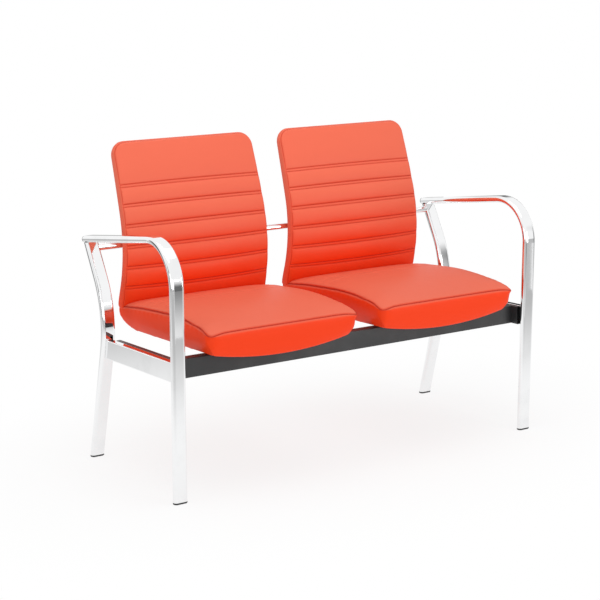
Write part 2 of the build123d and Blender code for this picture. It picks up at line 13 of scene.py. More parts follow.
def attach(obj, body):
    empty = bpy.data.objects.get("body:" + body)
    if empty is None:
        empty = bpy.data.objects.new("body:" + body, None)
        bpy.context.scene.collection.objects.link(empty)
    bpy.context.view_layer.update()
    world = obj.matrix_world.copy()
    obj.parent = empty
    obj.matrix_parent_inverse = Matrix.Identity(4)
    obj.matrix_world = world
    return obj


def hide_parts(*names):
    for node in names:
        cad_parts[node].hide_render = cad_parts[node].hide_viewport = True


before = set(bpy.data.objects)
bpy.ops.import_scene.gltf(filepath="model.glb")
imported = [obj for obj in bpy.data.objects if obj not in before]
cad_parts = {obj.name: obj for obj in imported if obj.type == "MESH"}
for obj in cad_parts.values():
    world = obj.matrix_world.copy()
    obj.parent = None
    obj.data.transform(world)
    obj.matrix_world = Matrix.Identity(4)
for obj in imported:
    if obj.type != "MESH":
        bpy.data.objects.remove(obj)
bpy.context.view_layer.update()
log = logging.getLogger("bench")

Point = tuple[float, float, float]
Pair = tuple[float, float]
Colour = tuple[float, float, float, float]
Grain = tuple[float, float, float]  # a noise's lumps per metre, finer layers and their strength
Numbers = float | np.ndarray
Object = bpy.types.Object
Material = bpy.types.Material
Socket = bpy.types.NodeSocket

BODY = "root"
SEAT_CENTRE = 0.268  # of each seat, from the bench's middle
WHITE: Colour = (1.0, 1.0, 1.0, 1.0)
SOFT_ANGLE = 60.0  # degrees, up to which the soft pieces are shaded smooth
PUFF_FRAMES = 20
CLOTH = {
    "quality": 6,
    "mass": 0.25,
    "tension_stiffness": 18.0,
    "compression_stiffness": 14.0,
    "shear_stiffness": 8.0,
    "bending_stiffness": 0.6,
    "use_pressure": True,
    "vertex_group_mass": "held",
}


class Side(Enum):
    """The two ends of the bench, as someone facing it sees them."""

    LEFT = -1
    RIGHT = 1

    @property
    def word(self) -> str:
        """Lower-case name, as the frame's nodes use it."""
        return self.name.lower()


def slope(value: Numbers, low: float, reach: float) -> Numbers:
    """Ramp straight from 0 at low to 1 a reach further on."""
    return np.clip((value - low) / reach, 0.0, 1.0)


def ramp(value: Numbers, low: float, high: float) -> Numbers:
    """Ramp from 0 at low to 1 at high, level at both ends."""
    share = slope(value, low, high - low)
    return share * share * (3.0 - 2.0 * share)


def bell(value: Numbers, reach: float) -> Numbers:
    """Bell curve, 1 at zero and small past its reach."""
    return np.exp(-((value / reach) ** 2))


def set_all(target: object, settings: dict[str, object]) -> None:
    """Set several settings of one thing, by their names."""
    for name, setting in settings.items():
        setattr(target, name, setting)


# Shader maths


class Value:
    """One number in a shader, whose arithmetic adds Math nodes."""

    def __init__(self, shader: "Shader", socket: Socket) -> None:
        """Keep the shader and the output socket that gives the number."""
        self.shader = shader
        self.socket = socket

    def _math(self, operation: str, other: "Value | float") -> "Value":
        """Result of one Math node with this number and another."""
        node = self.shader.node("ShaderNodeMath", {"operation": operation}, {0: self, 1: other})
        return Value(self.shader, node.outputs[0])

    def __add__(self, other: "Value | float") -> "Value":
        """Sum."""
        return self._math("ADD", other)

    def __rsub__(self, other: float) -> "Value":
        """Difference from a plain number."""
        return self._math("MULTIPLY", -1.0)._math("ADD", other)

    def __mul__(self, other: "Value | float") -> "Value":
        """Product."""
        return self._math("MULTIPLY", other)

    def __pow__(self, other: float) -> "Value":
        """Power."""
        return self._math("POWER", other)

    def larger(self, other: "Value") -> "Value":
        """The larger of two numbers."""
        return self._math("MAXIMUM", other)

    def between(self, low: float, high: float) -> "Value":
        """Ramp from 0 at low to 1 at high, smooth at both ends.

        Args:
            low: Where the ramp starts.
            high: Where it ends.

        Returns:
            The ramp's value.
        """
        settings = {"interpolation_type": "SMOOTHSTEP"}
        node = self.shader.node("ShaderNodeMapRange", settings, {0: self, 1: low, 2: high})
        return Value(self.shader, node.outputs[0])


class Shader:
    """The nodes of a material or of the world."""

    def __init__(self, owner: Material | bpy.types.World) -> None:
        """Start with no nodes.

        Args:
            owner: The new material or world.
        """
        owner.use_nodes = True
        self.owner = owner
        self.tree = owner.node_tree
        self.tree.nodes.clear()

    def node(
        self,
        kind: str,
        settings: dict[str, object] | None = None,
        inputs: dict[object, object] | None = None,
    ) -> bpy.types.Node:
        """Add one node.

        Args:
            kind: The node's type.
            settings: Its own settings, set first.
            inputs: A value, socket or Value for each input, by name or place.

        Returns:
            The new node.
        """
        made = self.tree.nodes.new(kind)
        set_all(made, settings or {})
        for name, given in (inputs or {}).items():
            source = given.socket if isinstance(given, Value) else given
            if isinstance(source, Socket):
                self.tree.links.new(source, made.inputs[name])
            else:
                made.inputs[name].default_value = source
        return made

    def place(self, scale: Point = (1.0, 1.0, 1.0)) -> Socket:
        """Socket of the object coordinates, stretched by a factor along each axis."""
        inputs = {"Vector": self.node("ShaderNodeTexCoord").outputs["Object"], "Scale": scale}
        return self.node("ShaderNodeMapping", {"vector_type": "POINT"}, inputs).outputs["Vector"]

    def noise(self, vector: Socket, grain: Grain) -> Value:
        """Noise from 0 to 1.

        Args:
            vector: Where it is read.
            grain: Its lumps per metre, finer layers and their strength.

        Returns:
            The noise value.
        """
        scale, detail, rough = grain
        inputs = {"Vector": vector, "Scale": scale, "Detail": detail, "Roughness": rough}
        return Value(self, self.node("ShaderNodeTexNoise", None, inputs).outputs[0])

    def cells(self, vector: Socket, scale: float) -> Value:
        """Distance from the middle of scattered cells, so many to a metre."""
        node = self.node("ShaderNodeTexVoronoi", {"feature": "SMOOTH_F1"}, {"Vector": vector, "Scale": scale})
        return Value(self, node.outputs["Distance"])

    def mark(self, name: str) -> Value:
        """A number painted on the piece's points, by its attribute's name."""
        return Value(self, self.node("ShaderNodeAttribute", {"attribute_name": name}).outputs["Fac"])

    def mix(self, factor: Value, first: object, second: object) -> Socket:
        """Socket of two colours' blend, where 0 gives the first and 1 the second."""
        inputs = {"Factor": factor, 6: first, 7: second}
        return self.node("ShaderNodeMix", {"data_type": "RGBA"}, inputs).outputs[2]

    def bump(self, height: Value, strength: float, distance: float) -> Socket:
        """Socket of a relief's normal, with its strength and its real height in metres."""
        inputs = {"Height": height, "Strength": strength, "Distance": distance}
        return self.node("ShaderNodeBump", None, inputs).outputs["Normal"]

    def surface(self, inputs: dict[object, object]) -> Material:
        """End the shader in one Principled surface.

        Args:
            inputs: The surface's inputs.

        Returns:
            The finished material.
        """
        principled = self.node("ShaderNodeBsdfPrincipled", None, inputs)
        self.node("ShaderNodeOutputMaterial", None, {"Surface": principled.outputs["BSDF"]})
        return self.owner


# Finishes


@dataclass(frozen=True)
class Leatherette:
    """Soft grained coated cloth with darker seam lines, partly painted crease shade, and a paler
    painted-light colour on its higher and upward-facing parts.
    """

    name: str = "orange_red_leatherette"
    # The first colour is the leatherette's own; the second is a paler copy of it, laid on as painted light.
    deep: Colour = (0.88, 0.050, 0.007, 1.0)
    painted_lit: Colour = (0.80, 0.150, 0.085, 1.0)
    # Colour of the seam lines: a dark seam, partly painted crease shade.
    sewn: Colour = (0.58, 0.025, 0.008, 1.0)
    clouds: Grain = (9.0, 3.0, 0.5)
    creases: Grain = (60.0, 4.0, 0.6)
    grain_per_metre: float = 900.0
    tone_shares: Point = (0.86, 0.10, 0.06)  # of painted light, clouds and creases
    tones: Pair = (0.06, 0.96)
    sewn_share: float = 0.9
    roughness: float = 0.41
    crease_rough: float = 0.10
    sewn_rough: float = 0.15
    height_shares: Pair = (0.75, 0.25)  # of grain and creases
    relief: Pair = (0.35, 0.0004)
    specular: float = 0.12

    def material(self) -> Material:
        """Make the material.

        Returns:
            The material.
        """
        shader = Shader(bpy.data.materials.new(self.name))
        at = shader.place()
        clouds = shader.noise(at, self.clouds)
        creases = shader.noise(at, self.creases)
        grain = shader.cells(at, self.grain_per_metre)
        # Dark seam lines, partly painted shade in the seams' creases.
        sewing = shader.mark("sewing")
        # Painted light: each point's painted-light mark pales the colour towards the lit copy, with random
        # clouds and creases added.
        fade, cloud, crease = self.tone_shares
        light = shader.mark("fade") * fade + clouds * cloud + creases * crease
        tone = shader.mix(light.between(*self.tones), self.deep, self.painted_lit)
        height = grain * self.height_shares[0] + creases * self.height_shares[1]
        return shader.surface(
            {
                "Base Color": shader.mix(sewing * self.sewn_share, tone, self.sewn),
                "Roughness": creases * self.crease_rough + self.roughness + sewing * self.sewn_rough,
                "Normal": shader.bump(height, *self.relief),
                "Specular IOR Level": self.specular,
            }
        )


@dataclass(frozen=True)
class Speckled:
    """A finish of two tones, mixed by one noise, with a fine relief."""

    name: str
    first: Colour
    second: Colour
    specks: Grain
    tones: Pair
    roughness: Pair  # how much it varies, and its least
    relief: Pair
    relief_grain: Grain | None = None
    metallic: float = 0.0
    specular: float = 0.5

    def material(self) -> Material:
        """Make the material.

        Returns:
            The material.
        """
        shader = Shader(bpy.data.materials.new(self.name))
        at = shader.place()
        speck = shader.noise(at, self.specks)
        height = shader.noise(at, self.relief_grain) if self.relief_grain else speck
        return shader.surface(
            {
                "Base Color": shader.mix(speck.between(*self.tones), self.first, self.second),
                "Metallic": self.metallic,
                "Roughness": speck * self.roughness[0] + self.roughness[1],
                "Specular IOR Level": self.specular,
                "Normal": shader.bump(height, *self.relief),
            }
        )


THREAD = Speckled(
    name="dark_red_thread",
    first=(0.36, 0.016, 0.007, 1.0),
    second=(0.58, 0.032, 0.012, 1.0),
    specks=(700.0, 1.0, 0.5),
    tones=(0.35, 0.65),
    roughness=(0.2, 0.5),
    relief=(0.3, 0.0002),
    specular=0.12,
)
POWDER_COAT = Speckled(
    name="black_powder_coat",
    first=(0.022, 0.023, 0.024, 1.0),
    second=(0.040, 0.041, 0.042, 1.0),
    specks=(11.0, 4.0, 0.5),
    tones=(0.4, 0.8),
    roughness=(0.12, 0.30),
    relief=(0.20, 0.0003),
    relief_grain=(700.0, 2.0, 0.5),
)
MOULDED_PLASTIC = Speckled(
    name="black_moulded_plastic",
    first=(0.018, 0.018, 0.019, 1.0),
    second=(0.05, 0.05, 0.052, 1.0),
    specks=(80.0, 5.0, 0.7),
    tones=(0.55, 0.75),
    roughness=(0.15, 0.42),
    relief=(0.25, 0.0002),
    relief_grain=(1500.0, 2.0, 0.5),
)
ZINC_STEEL = Speckled(
    name="zinc_plated_steel",
    first=(0.66, 0.67, 0.66, 1.0),
    second=(0.48, 0.49, 0.48, 1.0),
    specks=(260.0, 3.0, 0.5),
    tones=(0.3, 0.7),
    roughness=(0.2, 0.25),
    relief=(0.1, 0.0003),
    metallic=1.0,
)


@dataclass(frozen=True)
class Chrome:
    """Polished plating with faint handling marks."""

    name: str = "polished_chrome"
    colour: Colour = (0.91, 0.915, 0.92, 1.0)
    dull: Colour = (0.86, 0.865, 0.87, 1.0)
    clouds: Grain = (14.0, 3.0, 0.5)
    wipe_stretch: Point = (60.0, 60.0, 6.0)
    wipes: Grain = (6.0, 2.0, 0.5)
    tones: Pair = (0.45, 0.75)
    roughness: float = 0.03
    haze: float = 0.02
    relief: Pair = (0.02, 0.0004)

    def material(self) -> Material:
        """Make the material.

        Returns:
            The material.
        """
        shader = Shader(bpy.data.materials.new(self.name))
        clouds = shader.noise(shader.place(), self.clouds)
        wiped = shader.noise(shader.place(self.wipe_stretch), self.wipes)
        mask = clouds.between(*self.tones)
        return shader.surface(
            {
                "Base Color": shader.mix(mask, self.colour, self.dull),
                "Metallic": 1.0,
                "Roughness": mask * self.haze + wiped * self.haze + self.roughness,
                "Normal": shader.bump(clouds, *self.relief),
            }
        )


@dataclass(frozen=True)
class Plywood:
    """Raw beech plywood with straight grain."""

    name: str = "raw_beech_plywood"
    light: Colour = (0.62, 0.42, 0.24, 1.0)
    dark: Colour = (0.45, 0.27, 0.13, 1.0)
    grain_stretch: Point = (14.0, 1.0, 1.0)
    grain: Grain = (22.0, 5.0, 0.6)
    fleck_stretch: Point = (1.0, 0.15, 0.15)
    flecks: Grain = (420.0, 1.0, 0.5)
    shares: Pair = (0.75, 0.25)  # of grain and flecks
    roughness: Pair = (0.15, 0.55)  # how much it varies, and its least
    relief: Pair = (0.2, 0.0005)

    def material(self) -> Material:
        """Make the material.

        Returns:
            The material.
        """
        shader = Shader(bpy.data.materials.new(self.name))
        grain = shader.noise(shader.place(self.grain_stretch), self.grain)
        fleck = shader.noise(shader.place(self.fleck_stretch), self.flecks)
        tone = grain * self.shares[0] + fleck * self.shares[1]
        return shader.surface(
            {
                "Base Color": shader.mix(tone, self.light, self.dark),
                "Roughness": grain * self.roughness[0] + self.roughness[1],
                "Normal": shader.bump(grain, *self.relief),
            }
        )


@dataclass
class Finishes:
    """Every material, made once."""

    leatherette: Material = field(default_factory=Leatherette().material)
    thread: Material = field(default_factory=THREAD.material)
    chrome: Material = field(default_factory=Chrome().material)
    paint: Material = field(default_factory=POWDER_COAT.material)
    plastic: Material = field(default_factory=MOULDED_PLASTIC.material)
    plywood: Material = field(default_factory=Plywood().material)
    zinc: Material = field(default_factory=ZINC_STEEL.material)


# Modelling by hand


class Workbench:
    """The modelling steps that the pieces share."""

    @staticmethod
    def clear() -> None:
        """Leave edit mode and select nothing."""
        if bpy.context.object is not None and bpy.context.object.mode != "OBJECT":
            bpy.ops.object.mode_set(mode="OBJECT")
        bpy.ops.object.select_all(action="DESELECT")

    @staticmethod
    def pick(piece: Object) -> None:
        """Make one object the only selected and active one.

        Args:
            piece: The object.
        """
        Workbench.clear()
        piece.select_set(True)
        bpy.context.view_layer.objects.active = piece

    @staticmethod
    def add(name: str, data: bpy.types.ID) -> Object:
        """Add an object to the scene.

        Args:
            name: Its name.
            data: Its mesh, curve, lamp or camera.

        Returns:
            The object.
        """
        made = bpy.data.objects.new(name, data)
        bpy.context.scene.collection.objects.link(made)
        return made

    @staticmethod
    def copy_of(source: Object, name: str) -> Object:
        """Copy an object with its own mesh.

        Args:
            source: The object to copy.
            name: The copy's name.

        Returns:
            The copy.
        """
        copy = Workbench.add(name, source.data.copy())
        copy.data.name = name
        return copy

    @staticmethod
    def read(mesh: bpy.types.Mesh, what: str) -> np.ndarray:
        """Read one vector for each point of a mesh.

        Args:
            mesh: The mesh.
            what: "co" for its points or "normal" for their normals.

        Returns:
            One row for each point.
        """
        flat = np.empty(len(mesh.vertices) * 3)
        mesh.vertices.foreach_get(what, flat)
        return flat.reshape(-1, 3)

    @staticmethod
    def points(piece: Object) -> np.ndarray:
        """All points of a piece, one row each."""
        return Workbench.read(piece.data, "co")

    @staticmethod
    def normals(piece: Object) -> np.ndarray:
        """All point normals of a piece, one row each."""
        return Workbench.read(piece.data, "normal")

    @staticmethod
    def move_points(piece: Object, points: np.ndarray) -> None:
        """Set all points of a piece."""
        piece.data.vertices.foreach_set("co", np.ascontiguousarray(points, dtype=float).ravel())
        piece.data.update()

    @staticmethod
    def shift(piece: Object, across: float) -> None:
        """Move all points of a piece along the bench."""
        Workbench.move_points(piece, Workbench.points(piece) + np.array((across, 0.0, 0.0)))

    @staticmethod
    def tree(piece: Object) -> BVHTree:
        """Search tree of a piece's faces."""
        mesh = piece.data
        return BVHTree.FromPolygons([v.co for v in mesh.vertices], [p.vertices[:] for p in mesh.polygons])

    @staticmethod
    def paint_mark(piece: Object, name: str, values: np.ndarray) -> None:
        """Store one number per point, under an attribute's name."""
        layer = piece.data.attributes.get(name) or piece.data.attributes.new(name, "FLOAT", "POINT")
        layer.data.foreach_set("value", np.ascontiguousarray(values, dtype=np.float32))

    @staticmethod
    def read_mark(piece: Object, name: str) -> np.ndarray:
        """Read one number per point.

        Args:
            piece: The mesh object.
            name: The attribute's name.

        Returns:
            One number for each point.
        """
        values = np.empty(len(piece.data.vertices), dtype=np.float32)
        piece.data.attributes[name].data.foreach_get("value", values)
        return values

    @staticmethod
    def paint_light(piece: Object, low: float, high: float) -> None:
        """Mark how much painted light each point gets: most where its normal points up."""
        Workbench.paint_mark(piece, "fade", ramp(Workbench.normals(piece)[:, 2], low, high))

    @staticmethod
    def apply(piece: Object, kind: str, settings: dict[str, object]) -> None:
        """Add a modifier and apply it.

        Args:
            piece: The mesh object.
            kind: The modifier's type.
            settings: Its settings.
        """
        Workbench.pick(piece)
        modifier = piece.modifiers.new(kind.lower(), kind)
        set_all(modifier, settings)
        bpy.ops.object.modifier_apply(modifier=modifier.name)

    @staticmethod
    def smooth(piece: Object, degrees: float) -> None:
        """Shade a piece smooth up to an angle."""
        Workbench.pick(piece)
        bpy.ops.object.shade_smooth_by_angle(angle=math.radians(degrees))

    @staticmethod
    def grid(name: str, columns: int, rows: int) -> Object:
        """Add a flat grid one metre wide.

        Args:
            name: The new object's name.
            columns: Points across.
            rows: Points along.

        Returns:
            The grid, with its points marked with their column and row.
        """
        Workbench.clear()
        bpy.ops.mesh.primitive_grid_add(x_subdivisions=columns - 1, y_subdivisions=rows - 1, size=1.0)
        piece = bpy.context.object
        piece.name = name
        piece.data.name = name
        flat = Workbench.points(piece)
        Workbench.paint_mark(piece, "column", np.rint((flat[:, 0] + 0.5) * (columns - 1)))
        Workbench.paint_mark(piece, "row", np.rint((flat[:, 1] + 0.5) * (rows - 1)))
        Workbench.paint_mark(piece, "ring", np.zeros(len(flat)))
        return piece

    @staticmethod
    def open_edge() -> None:
        """Go into edit mode and select only the open edge of the active mesh."""
        bpy.ops.object.mode_set(mode="EDIT")
        bpy.ops.mesh.select_mode(type="EDGE")
        bpy.ops.mesh.select_all(action="DESELECT")
        bpy.ops.mesh.select_non_manifold(
            extend=False, use_wire=False, use_boundary=True, use_multi_face=False, use_non_contiguous=False
        )

    @staticmethod
    def face_outwards() -> None:
        """Turn the active mesh's faces outwards and leave edit mode."""
        bpy.ops.mesh.select_all(action="SELECT")
        bpy.ops.mesh.normals_make_consistent(inside=False)
        bpy.ops.object.mode_set(mode="OBJECT")

    @staticmethod
    def add_rings(piece: Object, count: int) -> None:
        """Extrude the open edge of a mesh several times, and mark each ring of points.

        Args:
            piece: The open mesh.
            count: How many rings to add.
        """
        Workbench.pick(piece)
        for ring in range(1, count + 1):
            before = len(piece.data.vertices)
            Workbench.open_edge()
            bpy.ops.mesh.extrude_edges_move()
            bpy.ops.object.mode_set(mode="OBJECT")
            rings = Workbench.read_mark(piece, "ring")
            rings[before:] = ring
            Workbench.paint_mark(piece, "ring", rings)

    @staticmethod
    def close_open_edge(piece: Object) -> None:
        """Fill the open edge of a mesh and turn its faces outwards.

        Args:
            piece: The open mesh.
        """
        Workbench.pick(piece)
        Workbench.open_edge()
        bpy.ops.mesh.fill(use_beauty=True)
        Workbench.face_outwards()

    @staticmethod
    def puff(piece: Object, held: np.ndarray, pressure: float, cap: float) -> None:
        """Blow a padded piece up a little as cloth, and keep the result in its mesh.

        Args:
            piece: The closed mesh.
            held: From 0, free, to 1, sewn down, for each point.
            pressure: Pressure of the filling.
            cap: The furthest that a point may move, in metres.
        """
        start = Workbench.points(piece)
        group = piece.vertex_groups.new(name="held")
        for index in np.nonzero(held > 0.0)[0]:
            group.add([int(index)], float(held[index]), "REPLACE")
        cloth = piece.modifiers.new("cloth", "CLOTH")
        set_all(cloth.settings, CLOTH)
        cloth.settings.uniform_pressure_force = pressure
        cloth.settings.effector_weights.gravity = 0.0
        cloth.collision_settings.use_collision = False
        cloth.point_cache.frame_start = 1
        cloth.point_cache.frame_end = PUFF_FRAMES
        scene = bpy.context.scene
        for number in range(1, PUFF_FRAMES + 1):
            scene.frame_set(number)
        result = piece.evaluated_get(bpy.context.evaluated_depsgraph_get())
        moved = Workbench.read(result.data, "co") - start
        far = np.linalg.norm(moved, axis=1, keepdims=True)
        moved *= np.minimum(1.0, cap / np.maximum(far, 1e-9))
        piece.modifiers.remove(cloth)
        piece.vertex_groups.clear()
        scene.frame_set(1)
        Workbench.move_points(piece, start + moved)
        furthest = float(np.linalg.norm(moved, axis=1).max())
        log.info("%s moved %.1f mm at most", piece.name, furthest * 1000.0)

    @staticmethod
    def cord(name: str, line: list[Point], radius: float) -> Object:
        """Make a thin round cord along a line.

        Args:
            name: The new object's name.
            line: Points along the cord.
            radius: The cord's radius.

        Returns:
            The cord as a mesh.
        """
        curve = bpy.data.curves.new(name, "CURVE")
        settings = {"dimensions": "3D", "bevel_depth": radius, "bevel_resolution": 1, "use_fill_caps": True}
        set_all(curve, settings)
        spline = curve.splines.new("POLY")
        spline.points.add(len(line) - 1)
        spline.points.foreach_set("co", [number for point in line for number in (*point, 1.0)])
        Workbench.pick(Workbench.add(name, curve))
        bpy.ops.object.convert(target="MESH")
        Workbench.smooth(bpy.context.object, SOFT_ANGLE)
        return bpy.context.object

    @staticmethod
    def stitches(name: str, places: list[Matrix], length: float, radius: float) -> Object:
        """Model one stitch and copy it along the seams.

        Args:
            name: The new object's name.
            places: Where each stitch lies, with its x along the seam.
            length: A stitch's length.
            radius: The thread's radius.

        Returns:
            All the stitches as one mesh.
        """
        Workbench.clear()
        bpy.ops.mesh.primitive_uv_sphere_add(segments=6, ring_count=4, radius=1.0)
        one = bpy.context.object
        bpy.ops.transform.rotate(value=math.pi / 2, orient_axis="Y", center_override=(0.0, 0.0, 0.0))
        bpy.ops.transform.resize(value=(length / 2, radius, radius), center_override=(0.0, 0.0, 0.0))
        bpy.ops.object.transform_apply(location=True, rotation=True, scale=True)
        shape = Workbench.points(one)
        faces = [tuple(polygon.vertices) for polygon in one.data.polygons]
        all_points: list[np.ndarray] = []
        all_faces: list[tuple[int, ...]] = []
        for place in places:
            start = len(all_points) * len(shape)
            all_points.append(shape @ np.array(place.to_3x3()).T + np.array(place.translation))
            all_faces.extend(tuple(start + corner for corner in face) for face in faces)
        mesh = bpy.data.meshes.new(name)
        mesh.from_pydata(np.vstack(all_points).tolist(), [], all_faces)
        piece = Workbench.add(name, mesh)
        bpy.data.objects.remove(one)
        Workbench.smooth(piece, SOFT_ANGLE)
        return piece

    @staticmethod
    def finish(piece: Object, material: Material, slot: str) -> None:
        """Give a piece its material and fix it to the bench.

        Args:
            piece: The finished mesh object.
            material: Its material.
            slot: Not used.
        """
        piece.data.materials.clear()
        piece.data.materials.append(material)
        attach(piece, BODY)
        log.info("%s: %d faces", piece.name, len(piece.data.polygons))


# The bent line that all the upholstery follows


@dataclass(frozen=True)
class ShellLine:
    """Middle line of a seat shell, seen from the side, from the front of the seat to the top of the back."""

    leg_back_y: float = -0.2337
    frame_top: float = 0.368
    tilt: float = math.radians(2.6)
    strap: float = 0.005
    up: float = 0.0163
    front_back: float = -0.017
    bend: float = 0.050
    lumbar_y: float = 0.1903
    lumbar_z: float = 0.560
    lumbar: float = 0.383
    lower: float = math.radians(15.0)
    upper: float = math.radians(17.5)
    top: float = 0.313
    border: float = 0.014
    front_face: float = 0.005
    outside: float = -0.0113
    half_width: float = 0.206

    def on_frame(self, back: float, up: float) -> Pair:
        """Point (y, z) on the tilted underframe, so far back from its front and up from its top."""
        y = self.leg_back_y + back * math.cos(self.tilt) + up * math.sin(self.tilt)
        return y, self.frame_top - back * math.sin(self.tilt) + up * math.cos(self.tilt)

    def _corner(self) -> tuple[np.ndarray, np.ndarray, float]:
        """Find where the seat's and the lower back's straight lines meet.

        Returns:
            The line's front end, the corner, and the turn between the two lines.
        """
        start = np.array(self.on_frame(self.front_back, self.up))
        along = np.array((math.cos(self.tilt), -math.sin(self.tilt)))
        rise = np.array((-math.sin(self.lower), math.cos(self.lower)))
        centre = np.array((self.lumbar_y + self.lumbar, self.lumbar_z))
        foot = centre - self.lumbar * np.array((math.cos(self.lower), math.sin(self.lower)))
        run, _ = np.linalg.solve(np.column_stack((along, rise)), foot - start)
        return start, start + along * run, math.acos(float(along @ rise))

    def lengths(self) -> Point:
        """Measure along the line.

        Returns:
            Distances from the front end to the bend, its end and the lumbar point.
        """
        start, corner, turn = self._corner()
        tangent = self.bend * math.tan(turn / 2)
        seat = float(np.linalg.norm(corner - start)) - tangent
        foot_y = self.lumbar_y + self.lumbar * (1 - math.cos(self.lower))
        foot_z = self.lumbar_z - self.lumbar * math.sin(self.lower)
        straight = math.hypot(foot_y - corner[0], foot_z - corner[1]) - tangent
        bend_end = seat + self.bend * turn
        return seat, bend_end, bend_end + straight + self.lumbar * self.lower

    def on_back(self, rise: float, depth: float) -> Pair:
        """Point (y, z) beside the back.

        Args:
            rise: Distance along the line from the lumbar point.
            depth: Distance from the line towards the sitter.

        Returns:
            The point.
        """
        angle = min(max(rise / self.lumbar, -self.lower), self.upper)
        run = rise - angle * self.lumbar
        radius = self.lumbar + depth
        y = self.lumbar_y + self.lumbar - radius * math.cos(angle) + run * math.sin(angle)
        return y, self.lumbar_z + radius * math.sin(angle) + run * math.cos(angle)

    def at(self, distance: float, depth: float) -> Pair:
        """Point (y, z) beside the line.

        Args:
            distance: Distance along the line from its front end.
            depth: Distance from the line towards the sitter.

        Returns:
            The point.
        """
        seat, bend_end, lumbar_point = self.lengths()
        if distance >= bend_end:
            return self.on_back(distance - lumbar_point, depth)
        if distance <= seat:
            return self.on_frame(self.front_back + distance, self.up + depth)
        middle = np.array(self.on_frame(self.front_back + seat, self.up + self.bend))
        angle = (distance - seat) / self.bend - self.tilt - math.pi / 2
        reach = self.bend - depth
        return float(middle[0] + reach * math.cos(angle)), float(middle[1] + reach * math.sin(angle))


SHELL = ShellLine()


def rounded(u: float, v: float, half: float, low: float, high: float, low_r: float, high_r: float) -> Pair:
    """Place a unit square's point in a rectangle with rounded corners.

    Args:
        u: From -1 at the left edge to 1 at the right.
        v: Height between low and high.
        half: Half the rectangle's width.
        low: Its lower edge.
        high: Its upper edge.
        low_r: Radius of the lower corners.
        high_r: Radius of the upper corners.

    Returns:
        The point (x, height).
    """
    x = abs(u) * half
    for edge, radius, sign in ((high, high_r, 1.0), (low, low_r, -1.0)):
        across = (x - (half - radius)) / radius
        along = (sign * (v - edge) + radius) / radius
        if across > 0.0 and along > 0.0:
            across = min(across, 1.0)
            along = min(along, 1.0)
            x = half - radius + radius * across * math.sqrt(1.0 - along * along / 2.0)
            v = edge - sign * radius + sign * radius * along * math.sqrt(1.0 - across * across / 2.0)
    return math.copysign(x, u), v


# Upholstery


